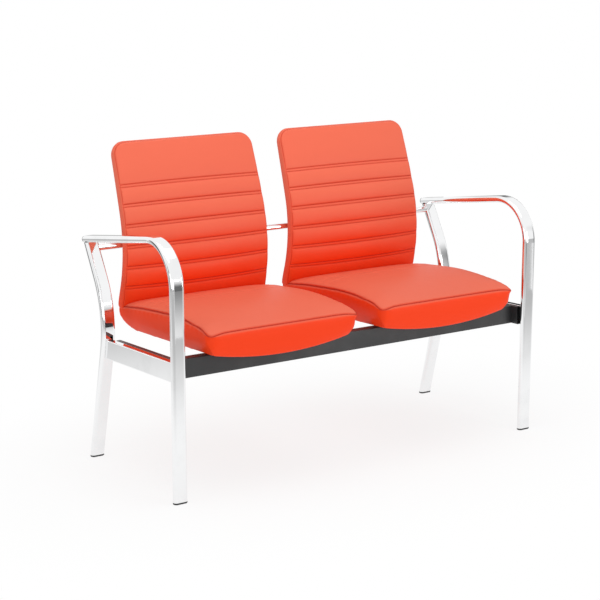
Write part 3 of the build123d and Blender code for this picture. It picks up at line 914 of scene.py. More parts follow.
@dataclass(frozen=True)
class BackCushion:
    """A back's front pad: stuffed channels between double seams, with a sewn side border."""

    low_half: float = 0.2295
    top_half: float = 0.2175
    waist: float = 0.008
    low_rise: float = -0.1380
    low_crown: float = 0.0205
    low_drop: float = 0.015
    low_start: float = -0.105
    top_rise: float = 0.3075
    top_row: float = 0.004
    top_thin: float = 0.0065
    thin_start: float = 0.16
    corner: float = 0.034
    low_corner: float = 0.006
    pad: float = 0.012
    crown: float = 0.012
    crown_power: float = 2.2
    swell: float = 0.0047
    edge_swell: float = 0.0029
    border_swell: float = 0.35
    border_belly: float = 0.0045
    channel_power: float = 2.6
    channel_past: float = 0.02
    plain_height: float = 0.08
    plain_full: float = 1.35
    first_seam: float = 0.189
    seam_pitch: float = 0.0543
    seam_count: int = 6
    seam_half: float = 0.0038
    seam_rows: tuple[float, ...] = (-2.4, -1.5, -1.0, -0.45, 0.45, 1.0, 1.5, 2.4)
    row_step: float = 0.0085
    columns: int = 63
    rings: int = 9
    pocket_gap: float = 0.0006
    pocket_corners: Pair = (0.001, 0.0306)
    hold_halves: float = 1.2
    hold_reach: float = 0.006
    pressure: float = 4.0
    puff_cap: float = 0.004
    stitch_reach: float = 0.0016
    stitch_sink: float = 0.0014
    stitch_marks: Pair = (0.55, 0.85)  # darkness of the lower and upper line: dark seams, the upper one darker by painted crease shade
    # Darkness of the ring where the front panel meets the border: a dark seam, partly painted shade.
    edge_mark: float = 0.95
    pucker_reach: float = 0.010
    pucker_sink: float = 0.00025
    pucker_pitch: float = 0.0085
    pucker_phase: float = 90.0
    # Painted light: paler higher up the pad and where it faces up.
    fade_rise: Pair = (-0.16, 0.36)
    fade_rise_share: float = 0.65
    fade_up: Pair = (-0.54, 1.04)
    fade_up_share: float = 0.35
    stitch_margin: float = 0.003
    stitch_pitch: float = 0.0045
    stitch_lift: float = 0.0001
    clear_depth: float = 0.08

    def seams(self) -> list[float]:
        """Rise of each double seam's middle."""
        return [self.first_seam - self.seam_pitch * place for place in range(self.seam_count)]

    def stitch_lines(self) -> list[tuple[float, float, float]]:
        """List the lines of stitches.

        Returns:
            For each line its own rise, its seam's rise and its darkness.
        """
        low_mark, high_mark = self.stitch_marks
        lines: list[tuple[float, float, float]] = []
        for seam in self.seams():
            lines.append((seam - self.seam_half, seam, low_mark))
            lines.append((seam + self.seam_half, seam, high_mark))
        return lines

    def row_rises(self) -> list[float]:
        """Choose the rows of points, close together at the seams.

        Returns:
            Rise of each row, from the bottom.
        """
        marks = [self.low_rise, self.top_rise, self.top_rise - self.top_row]
        marks += [seam + place * self.seam_half for seam in self.seams() for place in self.seam_rows]
        marks.sort()
        rises: list[float] = []
        for low, high in zip(marks, marks[1:]):
            steps = max(1, math.ceil((high - low) / self.row_step))
            rises += [low + (high - low) * step / steps for step in range(steps)]
        return rises + [marks[-1]]

    def half_at(self, rise: float) -> float:
        """Half the front panel's width at a rise."""
        along = (rise - self.low_rise) / (self.top_rise - self.low_rise)
        return self.low_half + (self.top_half - self.low_half) * along - self.waist * along * (1.0 - along)

    def channel(self, rise: float) -> float:
        """Find how full the channel is at a rise.

        Args:
            rise: Where it is read.

        Returns:
            From 0 in a seam to 1 in a channel's middle, and more in the plain top.
        """
        edges = [self.top_rise + self.channel_past]
        for seam in self.seams():
            edges += [seam + self.seam_half, seam - self.seam_half]
        edges.append(self.low_rise - self.channel_past)
        for high, low in zip(edges[0::2], edges[1::2]):
            if low < rise < high:
                along = abs(2.0 * (rise - low) / (high - low) - 1.0)
                full = self.plain_full if high - low > self.plain_height else 1.0
                return (1.0 - along**self.channel_power) * full
        return 0.0

    def edge_depth(self, rise: float) -> float:
        """Depth of the front panel's edge in front of the shell's line."""
        return SHELL.front_face + self.pad - self.top_thin * ramp(rise, self.thin_start, self.top_rise)

    def front_depth(self, x: float, rise: float) -> float:
        """Find how far the front surface stands in front of the shell's line.

        Args:
            x: Distance from the pad's middle.
            rise: Distance along the line from the lumbar point.

        Returns:
            The depth.
        """
        full = 1.0 - min(1.0, abs(x) / self.half_at(rise)) ** self.crown_power
        swell = self.edge_swell + (self.swell - self.edge_swell) * full
        return self.edge_depth(rise) + self.crown * full + swell * self.channel(rise)

    def place(self, column: float, row: float, ring: int, rises: list[float]) -> Point:
        """Place one point of the pad.

        Args:
            column: The point's column.
            row: Its row.
            ring: 0 on the front panel, then upwards over the border and into the pocket.
            rises: Rise of each row.

        Returns:
            The point, for a pad in the middle of the bench.
        """
        u = 2.0 * column / (self.columns - 1) - 1.0
        rise = rises[int(row)]
        half = self.half_at(rise)
        x, placed = rounded(u, rise, half, self.low_rise, self.top_rise, self.low_corner, self.corner)
        low_edge = row < 0.5
        if placed < self.low_start:
            across = abs(x) / half
            low = self.low_rise + self.low_crown * (1.0 - across**2) - self.low_drop * across**8
            reach = low - self.low_start
            placed = self.low_start + (placed - self.low_start) * reach / (self.low_rise - self.low_start)
        if ring == 0:
            return (x, *SHELL.on_back(placed, self.front_depth(x, placed)))
        out = self.outward(row, x, placed, half)
        edge = self.edge_depth(placed) + self.edge_swell * self.border_swell * self.channel(placed)
        rear = SHELL.outside
        middle = (edge + rear) / 2
        # Distance outwards and depth of each ring on the border, from the front to the rear
        steps = (
            (0.0008, edge - 0.0022),
            (0.0018, edge - 0.0008),
            (0.0030, edge - 0.0035),
            (0.0034, middle),
            (0.0028, rear + 0.0035),
            (0.0010, rear + 0.0005),
            (-0.0035, rear),
        )
        on_shell = low_edge and abs(x) < SHELL.half_width
        shell_depth = SHELL.front_face + self.pocket_gap
        if ring <= len(steps):
            offset, depth = steps[ring - 1]
            fullness = 1.0 - ((depth - middle) / ((edge - rear) / 2)) ** 2
            offset += max(0.0, out[1]) * self.border_belly * max(0.0, fullness)
            if on_shell:
                depth = max(depth, shell_depth)
            return (x + out[0] * offset, *SHELL.on_back(placed + out[1] * offset, depth))
        pocket_half = SHELL.half_width + self.pocket_gap
        pocket_top = SHELL.top - SHELL.border + self.pocket_gap
        pocket_x, pocket_rise = rounded(u, rise, pocket_half, self.low_rise, pocket_top, *self.pocket_corners)
        first = ring == len(steps) + 1 and not on_shell
        pocket_rise = placed if low_edge else min(pocket_rise, pocket_top)
        return (pocket_x, *SHELL.on_back(pocket_rise, rear if first else shell_depth))

    def outward(self, row: float, x: float, rise: float, half: float) -> Pair:
        """Find the direction out of the panel at its edge.

        Args:
            row: The point's row.
            x: Distance from the pad's middle.
            rise: Distance along the line from the lumbar point.
            half: Half the panel's width there.

        Returns:
            The direction, as (x, rise).
        """
        sign = math.copysign(1.0, x)
        for edge, radius, end in ((self.top_rise, self.corner, 1.0), (self.low_rise, self.low_corner, -1.0)):
            across = abs(x) - (half - radius)
            along = end * (rise - edge) + radius
            if across > 0.0 and along > 0.0:
                size = math.hypot(across, along)
                return sign * across / size, end * along / size
        if row < 0.5:
            return 0.0, -1.0
        if rise > self.top_rise - 1e-6:
            return 0.0, 1.0
        return sign, 0.0

    def build(self) -> Object:
        """Model one pad in the middle of the bench.

        Returns:
            The pad, puffed and sewn.
        """
        rises = self.row_rises()
        piece = Workbench.grid("back_pad", self.columns, len(rises))
        Workbench.add_rings(piece, self.rings)
        column = Workbench.read_mark(piece, "column")
        row = Workbench.read_mark(piece, "row")
        ring = Workbench.read_mark(piece, "ring")
        points = [self.place(c, r, int(k), rises) for c, r, k in zip(column, row, ring)]
        Workbench.move_points(piece, np.array(points))
        Workbench.close_open_edge(piece)
        rise = np.array(rises)[row.astype(int)]
        near = np.min(np.abs(rise[:, None] - np.array(self.seams())[None, :]), axis=1)
        free = slope(near, self.hold_halves * self.seam_half, self.hold_reach)
        held = np.where(ring > 0, 1.0, 1.0 - free)
        edge = (column < 0.5) | (column > self.columns - 1.5) | (row < 0.5) | (row > len(rises) - 1.5)
        held[edge] = 1.0
        Workbench.puff(piece, held, self.pressure, self.puff_cap)
        Workbench.paint_mark(piece, "rise", rise)
        Workbench.paint_mark(piece, "panel", (ring == 0).astype(float))
        Workbench.paint_mark(piece, "edge", (ring == 1).astype(float))
        Workbench.apply(piece, "SUBSURF", {"levels": 1, "render_levels": 1})
        self.sew(piece)
        Workbench.smooth(piece, SOFT_ANGLE)
        return piece

    def sew(self, piece: Object) -> None:
        """Press the stitch lines into the pad, darken them as dark seams with the upper lines darker by
        painted crease shade, and paint light on the pad, most towards its top and where it faces up.

        Args:
            piece: The pad.
        """
        points = Workbench.points(piece)
        normals = Workbench.normals(piece)
        rise = Workbench.read_mark(piece, "rise")
        panel = np.clip(Workbench.read_mark(piece, "panel"), 0.0, 1.0)
        dark = np.clip(Workbench.read_mark(piece, "edge"), 0.0, 1.0) * self.edge_mark
        depth = np.zeros(len(points))
        turns = points[:, 0] * 2.0 * math.pi / self.pucker_pitch
        # Darken each stitch line: a dark seam, with painted crease shade on the upper line.
        for line, seam, mark in self.stitch_lines():
            near = bell(rise - line, self.stitch_reach) * panel
            depth += near * self.stitch_sink
            dark = np.maximum(dark, near * mark)
            if line > seam:
                pucker = bell(rise - seam, self.pucker_reach) * panel
                depth += pucker * self.pucker_sink * np.sin(turns + seam * self.pucker_phase)
        Workbench.move_points(piece, points - normals * depth[:, None])
        Workbench.paint_mark(piece, "sewing", dark)
        # Painted light: more higher up the pad and where it faces up.
        up = self.fade_rise_share * slope(rise, *self.fade_rise)
        up = up + self.fade_up_share * slope(normals[:, 2], *self.fade_up)
        Workbench.paint_mark(piece, "fade", ramp(up, 0.0, 1.0))

    def stitch_places(self, piece: Object) -> list[Matrix]:
        """Find where the stitches of the cross seams lie.

        Args:
            piece: The sewn pad.

        Returns:
            One matrix for each stitch.
        """
        tree = Workbench.tree(piece)
        places: list[Matrix] = []
        for line, _, _ in self.stitch_lines():
            reach = self.half_at(line) - self.stitch_margin
            count = int(2.0 * reach / self.stitch_pitch)
            for number in range(count):
                x = -reach + (number + 0.5) * 2.0 * reach / count
                start = Vector((x, *SHELL.on_back(line, self.clear_depth)))
                aim = Vector((x, *SHELL.on_back(line, 0.0))) - start
                hit, normal, _, _ = tree.ray_cast(start, aim.normalized())
                if hit is None:
                    continue
                along = Vector((1.0, 0.0, 0.0)) - normal * normal.x
                along.normalize()
                turn = Matrix((along, normal.cross(along), normal)).transposed().to_4x4()
                places.append(Matrix.Translation(hit + normal * self.stitch_lift) @ turn)
        return places


@dataclass(frozen=True)
class SeatCushion:
    """A seat's pad: a crowned top panel sewn to a rounded border."""

    seam_half: float = 0.2315
    seam_draw: float = 0.004
    seam_corner: float = 0.022
    front_back: float = -0.0375
    rear_back: float = 0.452
    height_places: tuple[float, ...] = (-0.043, 0.091, 0.292, 0.489)
    heights: tuple[float, ...] = (0.062, 0.079, 0.075, 0.056)
    side_points: int = 150
    corner_points: int = 15
    front_points: int = 70
    line_blur: int = 4
    weld: float = 0.00001
    voxel: float = 0.0045
    side_edge: Pair = (0.2070, 0.008)
    front_edge: Pair = (0.0180, 0.008)
    hang_edge: Pair = (0.0165, 0.004)
    rear_lift: float = 0.007
    rear_range: Pair = (0.53, 0.98)
    side_lift: float = 0.002
    belly: float = 0.030
    belly_start: float = 0.3
    shoulder: float = 0.024
    shoulder_front: Pair = (0.0, 0.12)
    shoulder_fore: float = 0.6
    shoulder_growth: Pair = (0.12, 0.45)
    shoulder_rear: Pair = (0.70, 1.0)
    shoulder_loss: float = 0.6
    fullness: float = 0.006
    tip_pull: float = 0.012
    tip_reach: float = 0.026
    tip_height: float = 0.012
    tip_out: float = 0.75
    tip_down: float = 0.6
    corner_round: float = 0.006
    corner_reach: float = 0.036
    diagonal: float = 0.7
    hold_edge: Pair = (0.004, 0.010)
    hold_rear: Pair = (0.13, 0.03)
    hold_under: float = -0.35
    pressure: float = 4.0
    puff_cap: float = 0.005
    seam_sinks: tuple[Pair, ...] = ((0.0024, 0.0032), (0.0010, 0.009))
    # Reach of the dark band at the seam: a dark seam line, partly painted shade in its groove.
    seam_mark: float = 0.0042
    gather: float = 0.00022
    gather_waves: tuple[Point, ...] = ((1.0, 0.83, 0.0), (0.6, 0.37, 1.0))
    gather_band: Pair = (0.008, 0.007)
    row_places: tuple[float, ...] = (0.1464, 0.1004, 0.0544, 0.0084)
    row_reach: float = 0.0035
    row_sink: float = 0.0015
    row_mark: float = 0.14
    row_up: Pair = (0.6, 0.3)
    row_inside: Pair = (0.015, 0.02)
    # Painted light, by how far a point's normal points up.
    fade: Pair = (0.05, 0.75)

    def height_at(self, back: Numbers) -> Numbers:
        """Height of the top seam above the straps, at a distance back from the front legs."""
        return np.polyval(np.polyfit(np.array(self.height_places), np.array(self.heights), 3), back)

    def seam_line(self) -> list[Pair]:
        """Draw the top seam in plan.

        Returns:
            Points (x, back), from the left rear round the front to the right rear.
        """
        side = np.linspace(self.rear_back, self.front_back + self.seam_corner, self.side_points)
        line = [(-self.seam_half, float(back)) for back in side]
        for step in range(1, self.corner_points + 1):
            angle = math.radians(90.0 / self.corner_points * step)
            x = -self.seam_half + self.seam_corner * (1.0 - math.cos(angle))
            line.append((x, self.front_back + self.seam_corner * (1.0 - math.sin(angle))))
        inner = self.seam_half - self.seam_corner
        line += [(float(x), self.front_back) for x in np.linspace(-inner, 0.0, self.front_points)[1:]]
        middle = (self.front_back + self.rear_back) / 2
        reach = (self.rear_back - self.front_back) / 2
        draw = self.seam_draw / self.seam_half
        drawn = [(x * (1.0 - draw * (1.0 - ((back - middle) / reach) ** 2)), back) for x, back in line]
        return drawn + [(-x, back) for x, back in reversed(drawn[:-1])]

    def build(self, node: Object, side: Side) -> tuple[Object, list[Point]]:
        """Model one pad in the middle of the bench.

        Args:
            node: The frame's solid for one pad.
            side: The side that the solid is on.

        Returns:
            The pad, puffed and sewn, and the line of its seam.
        """
        piece = Workbench.copy_of(node, "seat_pad")
        piece.data.materials.clear()
        Workbench.shift(piece, -side.value * SEAT_CENTRE)
        Workbench.pick(piece)
        bpy.ops.object.mode_set(mode="EDIT")
        bpy.ops.mesh.select_all(action="SELECT")
        bpy.ops.mesh.remove_doubles(threshold=self.weld)
        bpy.ops.object.mode_set(mode="OBJECT")
        Workbench.apply(piece, "REMESH", {"mode": "VOXEL", "voxel_size": self.voxel})
        Workbench.apply(piece, "SMOOTH", {"factor": 0.5, "iterations": 2})
        Workbench.move_points(piece, self.settle(Workbench.points(piece)))
        Workbench.apply(piece, "SMOOTH", {"factor": 0.5, "iterations": 4})
        points = Workbench.points(piece)
        away, _ = self.distance(points, self.project(piece))
        held = 1.0 - slope(away, *self.hold_edge)
        held[Workbench.normals(piece)[:, 2] < self.hold_under] = 1.0
        held = np.maximum(held, slope(points[:, 1], *self.hold_rear))
        Workbench.puff(piece, held, self.pressure, self.puff_cap)
        Workbench.apply(piece, "SUBSURF", {"levels": 1, "render_levels": 1})
        self.sew(piece)
        Workbench.smooth(piece, SOFT_ANGLE)
        return piece, [tuple(point) for point in self.project(piece)]

    def sew(self, piece: Object) -> None:
        """Sink the seam, its gathers and the faint cross rows, darken them as dark seams, partly painted
        shade, and paint light where the pad faces up.

        Args:
            piece: The puffed pad.
        """
        points = Workbench.points(piece)
        normals = Workbench.normals(piece)
        away, place = self.distance(points, self.project(piece))
        sunk = sum(depth * bell(away, reach) for depth, reach in self.seam_sinks)
        waves = sum(size * np.sin(place * pitch + phase) for size, pitch, phase in self.gather_waves)
        sunk += self.gather * waves * bell(away - self.gather_band[0], self.gather_band[1])
        top = slope(normals[:, 2], *self.row_up) * slope(away, *self.row_inside)
        rows = np.zeros(len(points))
        for row in self.row_places:
            rows = np.maximum(rows, bell(points[:, 1] - row, self.row_reach) * top)
        Workbench.move_points(piece, points - normals * (sunk + self.row_sink * rows)[:, None])
        # Dark seam band and rows, partly painted shade in their grooves.
        Workbench.paint_mark(piece, "sewing", np.maximum(bell(away, self.seam_mark), self.row_mark * rows))
        # Painted light: paler where the pad faces up.
        Workbench.paint_light(piece, *self.fade)

    def settle(self, points: np.ndarray) -> np.ndarray:
        """Settle the plain pad: fill its shoulders, hang its front border and draw out its front tips.

        Args:
            points: Points of the plain pad, one row each.

        Returns:
            The settled points.
        """
        x, y, z = points.T
        back = y - SHELL.leg_back_y
        full = self.height_at(back)
        top = SHELL.frame_top + SHELL.strap - back * math.tan(SHELL.tilt) + full
        below = np.clip((top - z) / full, 0.0, 1.0)
        across = np.clip(np.abs(x) / self.seam_half, 0.0, 1.0)
        along = slope(back, self.front_back, self.rear_back - self.front_back)
        at_side = slope(np.abs(x), *self.side_edge)
        at_front = slope(-back, *self.front_edge)
        tip = np.hypot(np.abs(x) - self.seam_half, back - self.front_back)
        pull = self.tip_pull * bell(tip, self.tip_reach) * bell(z - top, self.tip_height)
        inward = self.corner_round * bell(tip, self.corner_reach) * below * np.maximum(at_side, at_front)
        inward = self.diagonal * (inward - self.tip_out * pull)
        lift = self.rear_lift * ramp(along, *self.rear_range) * across**3
        shoulder = self.shoulder * across**2 * (1.0 - across**6)
        growth = self.shoulder_fore + (1.0 - self.shoulder_fore) * ramp(along, *self.shoulder_growth)
        lift += shoulder * ramp(along, *self.shoulder_front) * growth
        lift -= shoulder * self.shoulder_loss * ramp(along, *self.shoulder_rear)
        lift += self.fullness * (1.0 - across**2) * np.sin(math.pi * along)
        lift *= 1.0 - below
        hanging = slope(-back, *self.hang_edge) * ramp(below, self.belly_start, 1.0)
        lift -= self.belly * hanging * (1.0 - across**2)
        lift += self.side_lift * below**1.5 * at_side - self.tip_down * pull
        return np.column_stack((x - np.sign(x) * inward, y + inward, z + lift))

    @staticmethod
    def distance(points: np.ndarray, line: list[Vector]) -> tuple[np.ndarray, np.ndarray]:
        """Find how far each point is from a line of close points.

        Args:
            points: The points, one row each.
            line: The line's points.

        Returns:
            Each point's distance, and the place of the nearest point along the line.
        """
        tree = KDTree(len(line))
        for index, point in enumerate(line):
            tree.insert(point, index)
        tree.balance()
        found = [tree.find(point) for point in points]
        return np.array([hit[2] for hit in found]), np.array([float(hit[1]) for hit in found])

    def project(self, piece: Object) -> list[Vector]:
        """Lay the seam's plan line on the pad.

        Args:
            piece: The pad.

        Returns:
            Points along the seam, on the pad's surface.
        """
        tree = Workbench.tree(piece)
        flat: list[Point] = []
        for x, back in self.seam_line():
            flat.append((x, *SHELL.on_frame(back, SHELL.strap + float(self.height_at(back)))))
        hits = [tree.find_nearest(Vector(point))[0] for point in self.settle(np.array(flat))]
        line = [hit for hit in hits if hit is not None]
        blurred: list[Vector] = []
        for place in range(len(line)):
            near = line[max(0, place - self.line_blur) : place + self.line_blur + 1]
            blurred.append(sum(near, Vector()) / len(near))
        return blurred


@dataclass(frozen=True)
class OuterCover:
    """The plain cover under a seat and up the rear of its back."""

    columns: int = 41
    rows: int = 150
    corner: float = 0.030
    edge_gap: float = 0.0003
    inset: float = 0.0006
    thickness: float = 0.0056
    puff: float = 0.0016
    roll: float = 0.012
    rim: float = 0.0012
    # Painted light, by how far a point's normal points up.
    fade: Pair = (-0.40, 0.60)
    smooth_angle: float = 50.0

    def place(self, column: float, row: float, inside: bool) -> Point:
        """Place one point of the cover.

        Args:
            column: The point's column.
            row: Its row.
            inside: Whether it is on the side against the shell.

        Returns:
            The point, for a cover in the middle of the bench.
        """
        _, _, lumbar_point = SHELL.lengths()
        length = lumbar_point + SHELL.top - SHELL.border
        u = 2.0 * column / (self.columns - 1) - 1.0
        distance = length * row / (self.rows - 1)
        inset = self.inset if inside else 0.0
        half = SHELL.half_width - self.edge_gap - inset
        x, distance = rounded(u, distance, half, inset, length - inset, self.corner, self.corner)
        if inside:
            return (x, *SHELL.at(distance, SHELL.outside + self.thickness))
        edge = min(half - abs(x), distance, length - distance) / self.roll
        roll = 1.0 - (1.0 - min(1.0, max(0.0, edge))) ** 2
        return (x, *SHELL.at(distance, SHELL.outside - self.puff * roll + self.rim * (1.0 - roll)))

    def build(self) -> Object:
        """Model one cover in the middle of the bench.

        Returns:
            The cover.
        """
        piece = Workbench.grid("cover", self.columns, self.rows)
        column = Workbench.read_mark(piece, "column")
        row = Workbench.read_mark(piece, "row")
        lining = Workbench.copy_of(piece, "cover_inside")
        for sheet, inside in ((lining, True), (piece, False)):
            Workbench.move_points(sheet, np.array([self.place(c, r, inside) for c, r in zip(column, row)]))
        Workbench.pick(lining)
        bpy.ops.object.mode_set(mode="EDIT")
        bpy.ops.mesh.select_all(action="SELECT")
        bpy.ops.mesh.flip_normals()
        bpy.ops.object.mode_set(mode="OBJECT")
        piece.select_set(True)
        bpy.context.view_layer.objects.active = piece
        bpy.ops.object.join()
        Workbench.open_edge()
        bpy.ops.mesh.bridge_edge_loops(number_cuts=2, interpolation="LINEAR")
        Workbench.face_outwards()
        Workbench.paint_mark(piece, "sewing", np.zeros(len(piece.data.vertices)))
        # Painted light on the upward-facing parts of the cover.
        Workbench.paint_light(piece, *self.fade)
        Workbench.smooth(piece, self.smooth_angle)
        return piece


@dataclass
class Upholstery:
    """The soft pieces of both seats."""

    finishes: Finishes
    stitch_length: float = 0.0034
    stitch_radius: float = 0.00045
    cord_radius: float = 0.0009
    back_fill: float = 0.8
    seat_fill: float = 0.85
    cover_fill: float = 1.0

    def set_down(self, pattern: Object, side: Side, name: str) -> Object:
        """Copy a soft piece to one seat.

        Args:
            pattern: The piece in the middle of the bench.
            side: The seat's side.
            name: The copy's name, without its side.

        Returns:
            The copy.
        """
        copy = Workbench.copy_of(pattern, f"{side.word}_{name}")
        Workbench.shift(copy, side.value * SEAT_CENTRE)
        return copy

    def build(self) -> None:
        """Model each soft piece once and set it on both seats."""
        back = BackCushion()
        back_pad = back.build()
        places = back.stitch_places(back_pad)
        stitching = Workbench.stitches("back_stitches", places, self.stitch_length, self.stitch_radius)
        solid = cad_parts[f"{Side.LEFT.word}_seat_cushion"]
        seat_pad, seam = SeatCushion().build(solid, Side.LEFT)
        seat_cord = Workbench.cord("seat_cord", seam, self.cord_radius)
        cover = OuterCover().build()
        for side in Side:
            pad = self.set_down(back_pad, side, "back_pad")
            self.dress(pad, f"{side.word}_back_cushion", self.back_fill)
            cushion = self.set_down(seat_pad, side, "seat_pad")
            self.dress(cushion, f"{side.word}_seat_cushion", self.seat_fill)
            panel = self.set_down(cover, side, "rear_cover")
            self.dress(panel, f"{side.word}_outer_cover", self.cover_fill)
            for pattern, name in ((stitching, "back_stitching"), (seat_cord, "seat_seam")):
                Workbench.finish(self.set_down(pattern, side, name), self.finishes.thread, "leatherette")
        for pattern in (back_pad, stitching, seat_pad, seat_cord, cover):
            bpy.data.objects.remove(pattern)

    def dress(self, piece: Object, node: str, fill: float) -> None:
        """Finish a padded piece and let it stand for its solid.

        Args:
            piece: The padded piece.
            node: The frame node that it stands for.
            fill: Not used.
        """
        Workbench.finish(piece, self.finishes.leatherette, "leatherette")
        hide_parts(node)


# Frame


@dataclass
class BenchFrame:
    """The hard pieces, which keep the shapes of the frame's nodes."""

    finishes: Finishes

    def material_for(self, node: str) -> Material | None:
        """Choose a node's finish.

        Args:
            node: The node's name.

        Returns:
            Its material, or None for upholstery.
        """
        endings = (
            (("front_leg_and_arm", "rear_leg", "side_rail", "crossbar"), self.finishes.chrome),
            (("end_member", "beam", "seat_strap", "back_bracket"), self.finishes.paint),
            (("cap",), self.finishes.plastic),
            (("seat_shell",), self.finishes.plywood),
            (("bolts", "nuts", "screws"), self.finishes.zinc),
        )
        for words, material in endings:
            if node.endswith(words):
                return material
        return None

    def dress(self) -> None:
        """Give every hard node its finish."""
        for name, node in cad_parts.items():
            material = self.material_for(name)
            if material is not None:
                node.data.materials.clear()
                node.data.materials.append(material)
                log.info("%s: %s", name, material.name)


# Studio


@dataclass(frozen=True)
class Panel:
    """A flat lamp or card of the studio."""

    name: str
    place: Point
    aim: Point
    size: Pair
    strength: float  # a lamp's watts or a card's brightness

    def turn(self, axis: str) -> Euler:
        """Rotation that points one of the panel's axes at its aim."""
        return (Vector(self.aim) - Vector(self.place)).to_track_quat(axis, "Y").to_euler()


LAMPS = (
    Panel("overhead_box", (-0.2, -0.3, 2.9), (0.0, 0.0, 0.4), (2.4, 1.8), 30.0),
    Panel("front_box", (-1.5, -3.5, 0.8), (0.0, 0.0, 0.40), (2.0, 1.3), 17.0),
    Panel("right_box", (1.8, -3.2, 0.8), (0.0, 0.0, 0.40), (1.4, 1.2), 26.0),
    Panel("left_box", (-3.2, -0.8, 0.8), (0.0, 0.0, 0.40), (1.4, 1.2), 12.0),
)
CARDS = (
    Panel("grey_front", (0.35, -1.75, 0.45), (0.0, 0.0, 0.45), (1.0, 0.9), 0.14),
    Panel("dark_left", (-2.2, -0.3, 0.8), (0.0, 0.0, 0.8), (0.8, 1.6), 0.02),
    Panel("dark_rear_left", (-1.9, 1.3, 0.9), (0.0, 0.0, 0.9), (1.0, 1.8), 0.02),
    Panel("dark_front", (-1.3, -2.6, 0.7), (0.0, 0.0, 0.7), (0.6, 1.4), 0.02),
    Panel("dark_right", (2.1, -1.3, 0.8), (0.0, 0.0, 0.8), (0.9, 1.6), 0.02),
    Panel("dark_rear_right", (2.0, 1.2, 0.9), (0.0, 0.0, 0.9), (1.0, 1.8), 0.02),
)


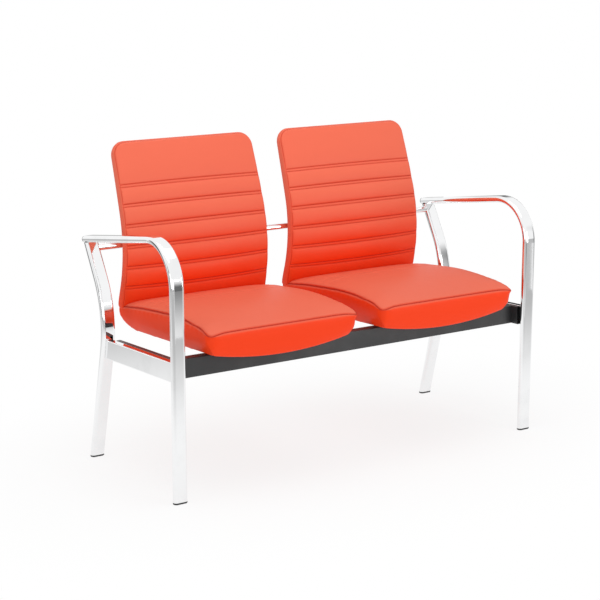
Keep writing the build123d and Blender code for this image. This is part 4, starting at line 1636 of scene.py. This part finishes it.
@dataclass(frozen=True)
class Studio:
    """Camera, soft lights and a pale floor."""

    eye: Point = (-2.503, -3.691, 1.4265)
    yaw: float = math.radians(33.64)
    pitch: float = math.radians(12.8)
    lens: float = 97.9
    sensor: float = 36.0
    card_across: Pair = (0.10, 1.0)
    card_low: Pair = (-1.15, -0.45)
    card_high: Pair = (0.0, 1.0)
    floor_size: float = 24.0
    floor_z: float = -0.0005
    floor_colour: Colour = (0.94, 0.94, 0.94, 1.0)
    shadow_stretch: Point = (0.8, 1.3, 1.0)
    shadow_range: Pair = (0.25, 1.15)
    shadow_shares: Point = (0.20, 0.38, 0.42)  # far from the bench, near it and unseen
    horizon_range: Pair = (0.9, 2.6)
    horizon_dim: float = 0.48
    room_light: float = 0.55

    def camera(self) -> None:
        """Set up the camera."""
        data = bpy.data.cameras.new("camera")
        data.lens = self.lens
        data.sensor_width = self.sensor
        camera = Workbench.add("camera", data)
        camera.location = self.eye
        camera.rotation_euler = (math.pi / 2 - self.pitch, 0.0, -self.yaw)
        bpy.context.scene.camera = camera

    def lamp(self, box: Panel) -> None:
        """Add one soft box.

        Args:
            box: Its place, size and power.
        """
        data = bpy.data.lights.new(box.name, "AREA")
        data.shape = "RECTANGLE"
        data.size, data.size_y = box.size
        data.energy = box.strength
        lamp = Workbench.add(box.name, data)
        lamp.location = box.place
        lamp.rotation_euler = box.turn("-Z")

    def card(self, flag: Panel) -> None:
        """Hang a flag with soft edges that only polished metal sees.

        Args:
            flag: Its place, size and brightness.
        """
        Workbench.clear()
        bpy.ops.mesh.primitive_plane_add(size=1.0)
        card = bpy.context.object
        card.name = flag.name
        bpy.ops.transform.resize(value=(*flag.size, 1.0))
        card.location = flag.place
        card.rotation_euler = flag.turn("Z")
        shader = Shader(bpy.data.materials.new(flag.name))
        parts = shader.node("ShaderNodeSeparateXYZ", None, {0: shader.place((2.0, 2.0, 2.0))})
        across = Value(shader, parts.outputs[0]) ** 2.0
        along = Value(shader, parts.outputs[1])
        mask = (1.0 - across.between(*self.card_across)) * along.between(*self.card_low)
        mask = mask * (1.0 - along.between(*self.card_high))
        colour = shader.mix(mask, WHITE, (flag.strength, flag.strength, flag.strength, 1.0))
        glow = shader.node("ShaderNodeEmission", None, {"Color": colour, "Strength": 1.0})
        shader.node("ShaderNodeOutputMaterial", None, {"Surface": glow.outputs[0]})
        card.data.materials.append(shader.owner)
        card.visible_camera = False
        card.visible_diffuse = False
        card.visible_transmission = False
        card.visible_shadow = False

    def floor(self) -> None:
        """Lay a pale floor that keeps the bench's shadow."""
        Workbench.clear()
        bpy.ops.mesh.primitive_plane_add(size=self.floor_size, location=(0.0, 0.0, self.floor_z))
        floor = bpy.context.object
        floor.name = "studio_floor"
        shader = Shader(bpy.data.materials.new("studio_floor"))
        path = shader.node("ShaderNodeLightPath")
        glossy = Value(shader, path.outputs["Is Glossy Ray"])
        seen = Value(shader, path.outputs["Is Camera Ray"]) + glossy
        seen = seen + Value(shader, path.outputs["Is Transmission Ray"])
        place = {0: shader.place(self.shadow_stretch)}
        length = shader.node("ShaderNodeVectorMath", {"operation": "LENGTH"}, place)
        away = Value(shader, length.outputs["Value"])
        far, near, unseen = self.shadow_shares
        share = seen * (away.between(*self.shadow_range) * far + near) + unseen
        dim = glossy * away.between(*self.horizon_range) * self.horizon_dim
        pale = shader.node("ShaderNodeBsdfDiffuse", None, {"Color": self.floor_colour})
        white = shader.node("ShaderNodeEmission", None, {"Color": WHITE, "Strength": 1.0 - dim})
        mix = shader.node("ShaderNodeMixShader", None, {0: share, 1: pale.outputs[0], 2: white.outputs[0]})
        shader.node("ShaderNodeOutputMaterial", None, {"Surface": mix.outputs[0]})
        floor.data.materials.append(shader.owner)

    def world(self) -> None:
        """Surround the bench with an even white room."""
        shader = Shader(bpy.data.worlds.new("studio"))
        path = shader.node("ShaderNodeLightPath")
        glossy = Value(shader, path.outputs["Is Glossy Ray"])
        seen = Value(shader, path.outputs["Is Camera Ray"]).larger(glossy)
        strength = seen * (1.0 - self.room_light) + self.room_light
        room = shader.node("ShaderNodeBackground", None, {"Color": WHITE, "Strength": strength})
        shader.node("ShaderNodeOutputWorld", None, {"Surface": room.outputs[0]})
        bpy.context.scene.world = shader.owner

    def build(self) -> None:
        """Set up the whole studio."""
        bpy.context.scene.view_settings.view_transform = "Standard"
        self.camera()
        self.world()
        self.floor()
        for box in LAMPS:
            self.lamp(box)
        for flag in CARDS:
            self.card(flag)


def main() -> None:
    """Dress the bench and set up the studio."""
    logging.basicConfig(level=logging.INFO, format="%(name)s: %(message)s")
    finishes = Finishes()
    BenchFrame(finishes).dress()
    Upholstery(finishes).build()
    Studio().build()
    bpy.context.view_layer.update()


if __name__ == "__main__":
    main()
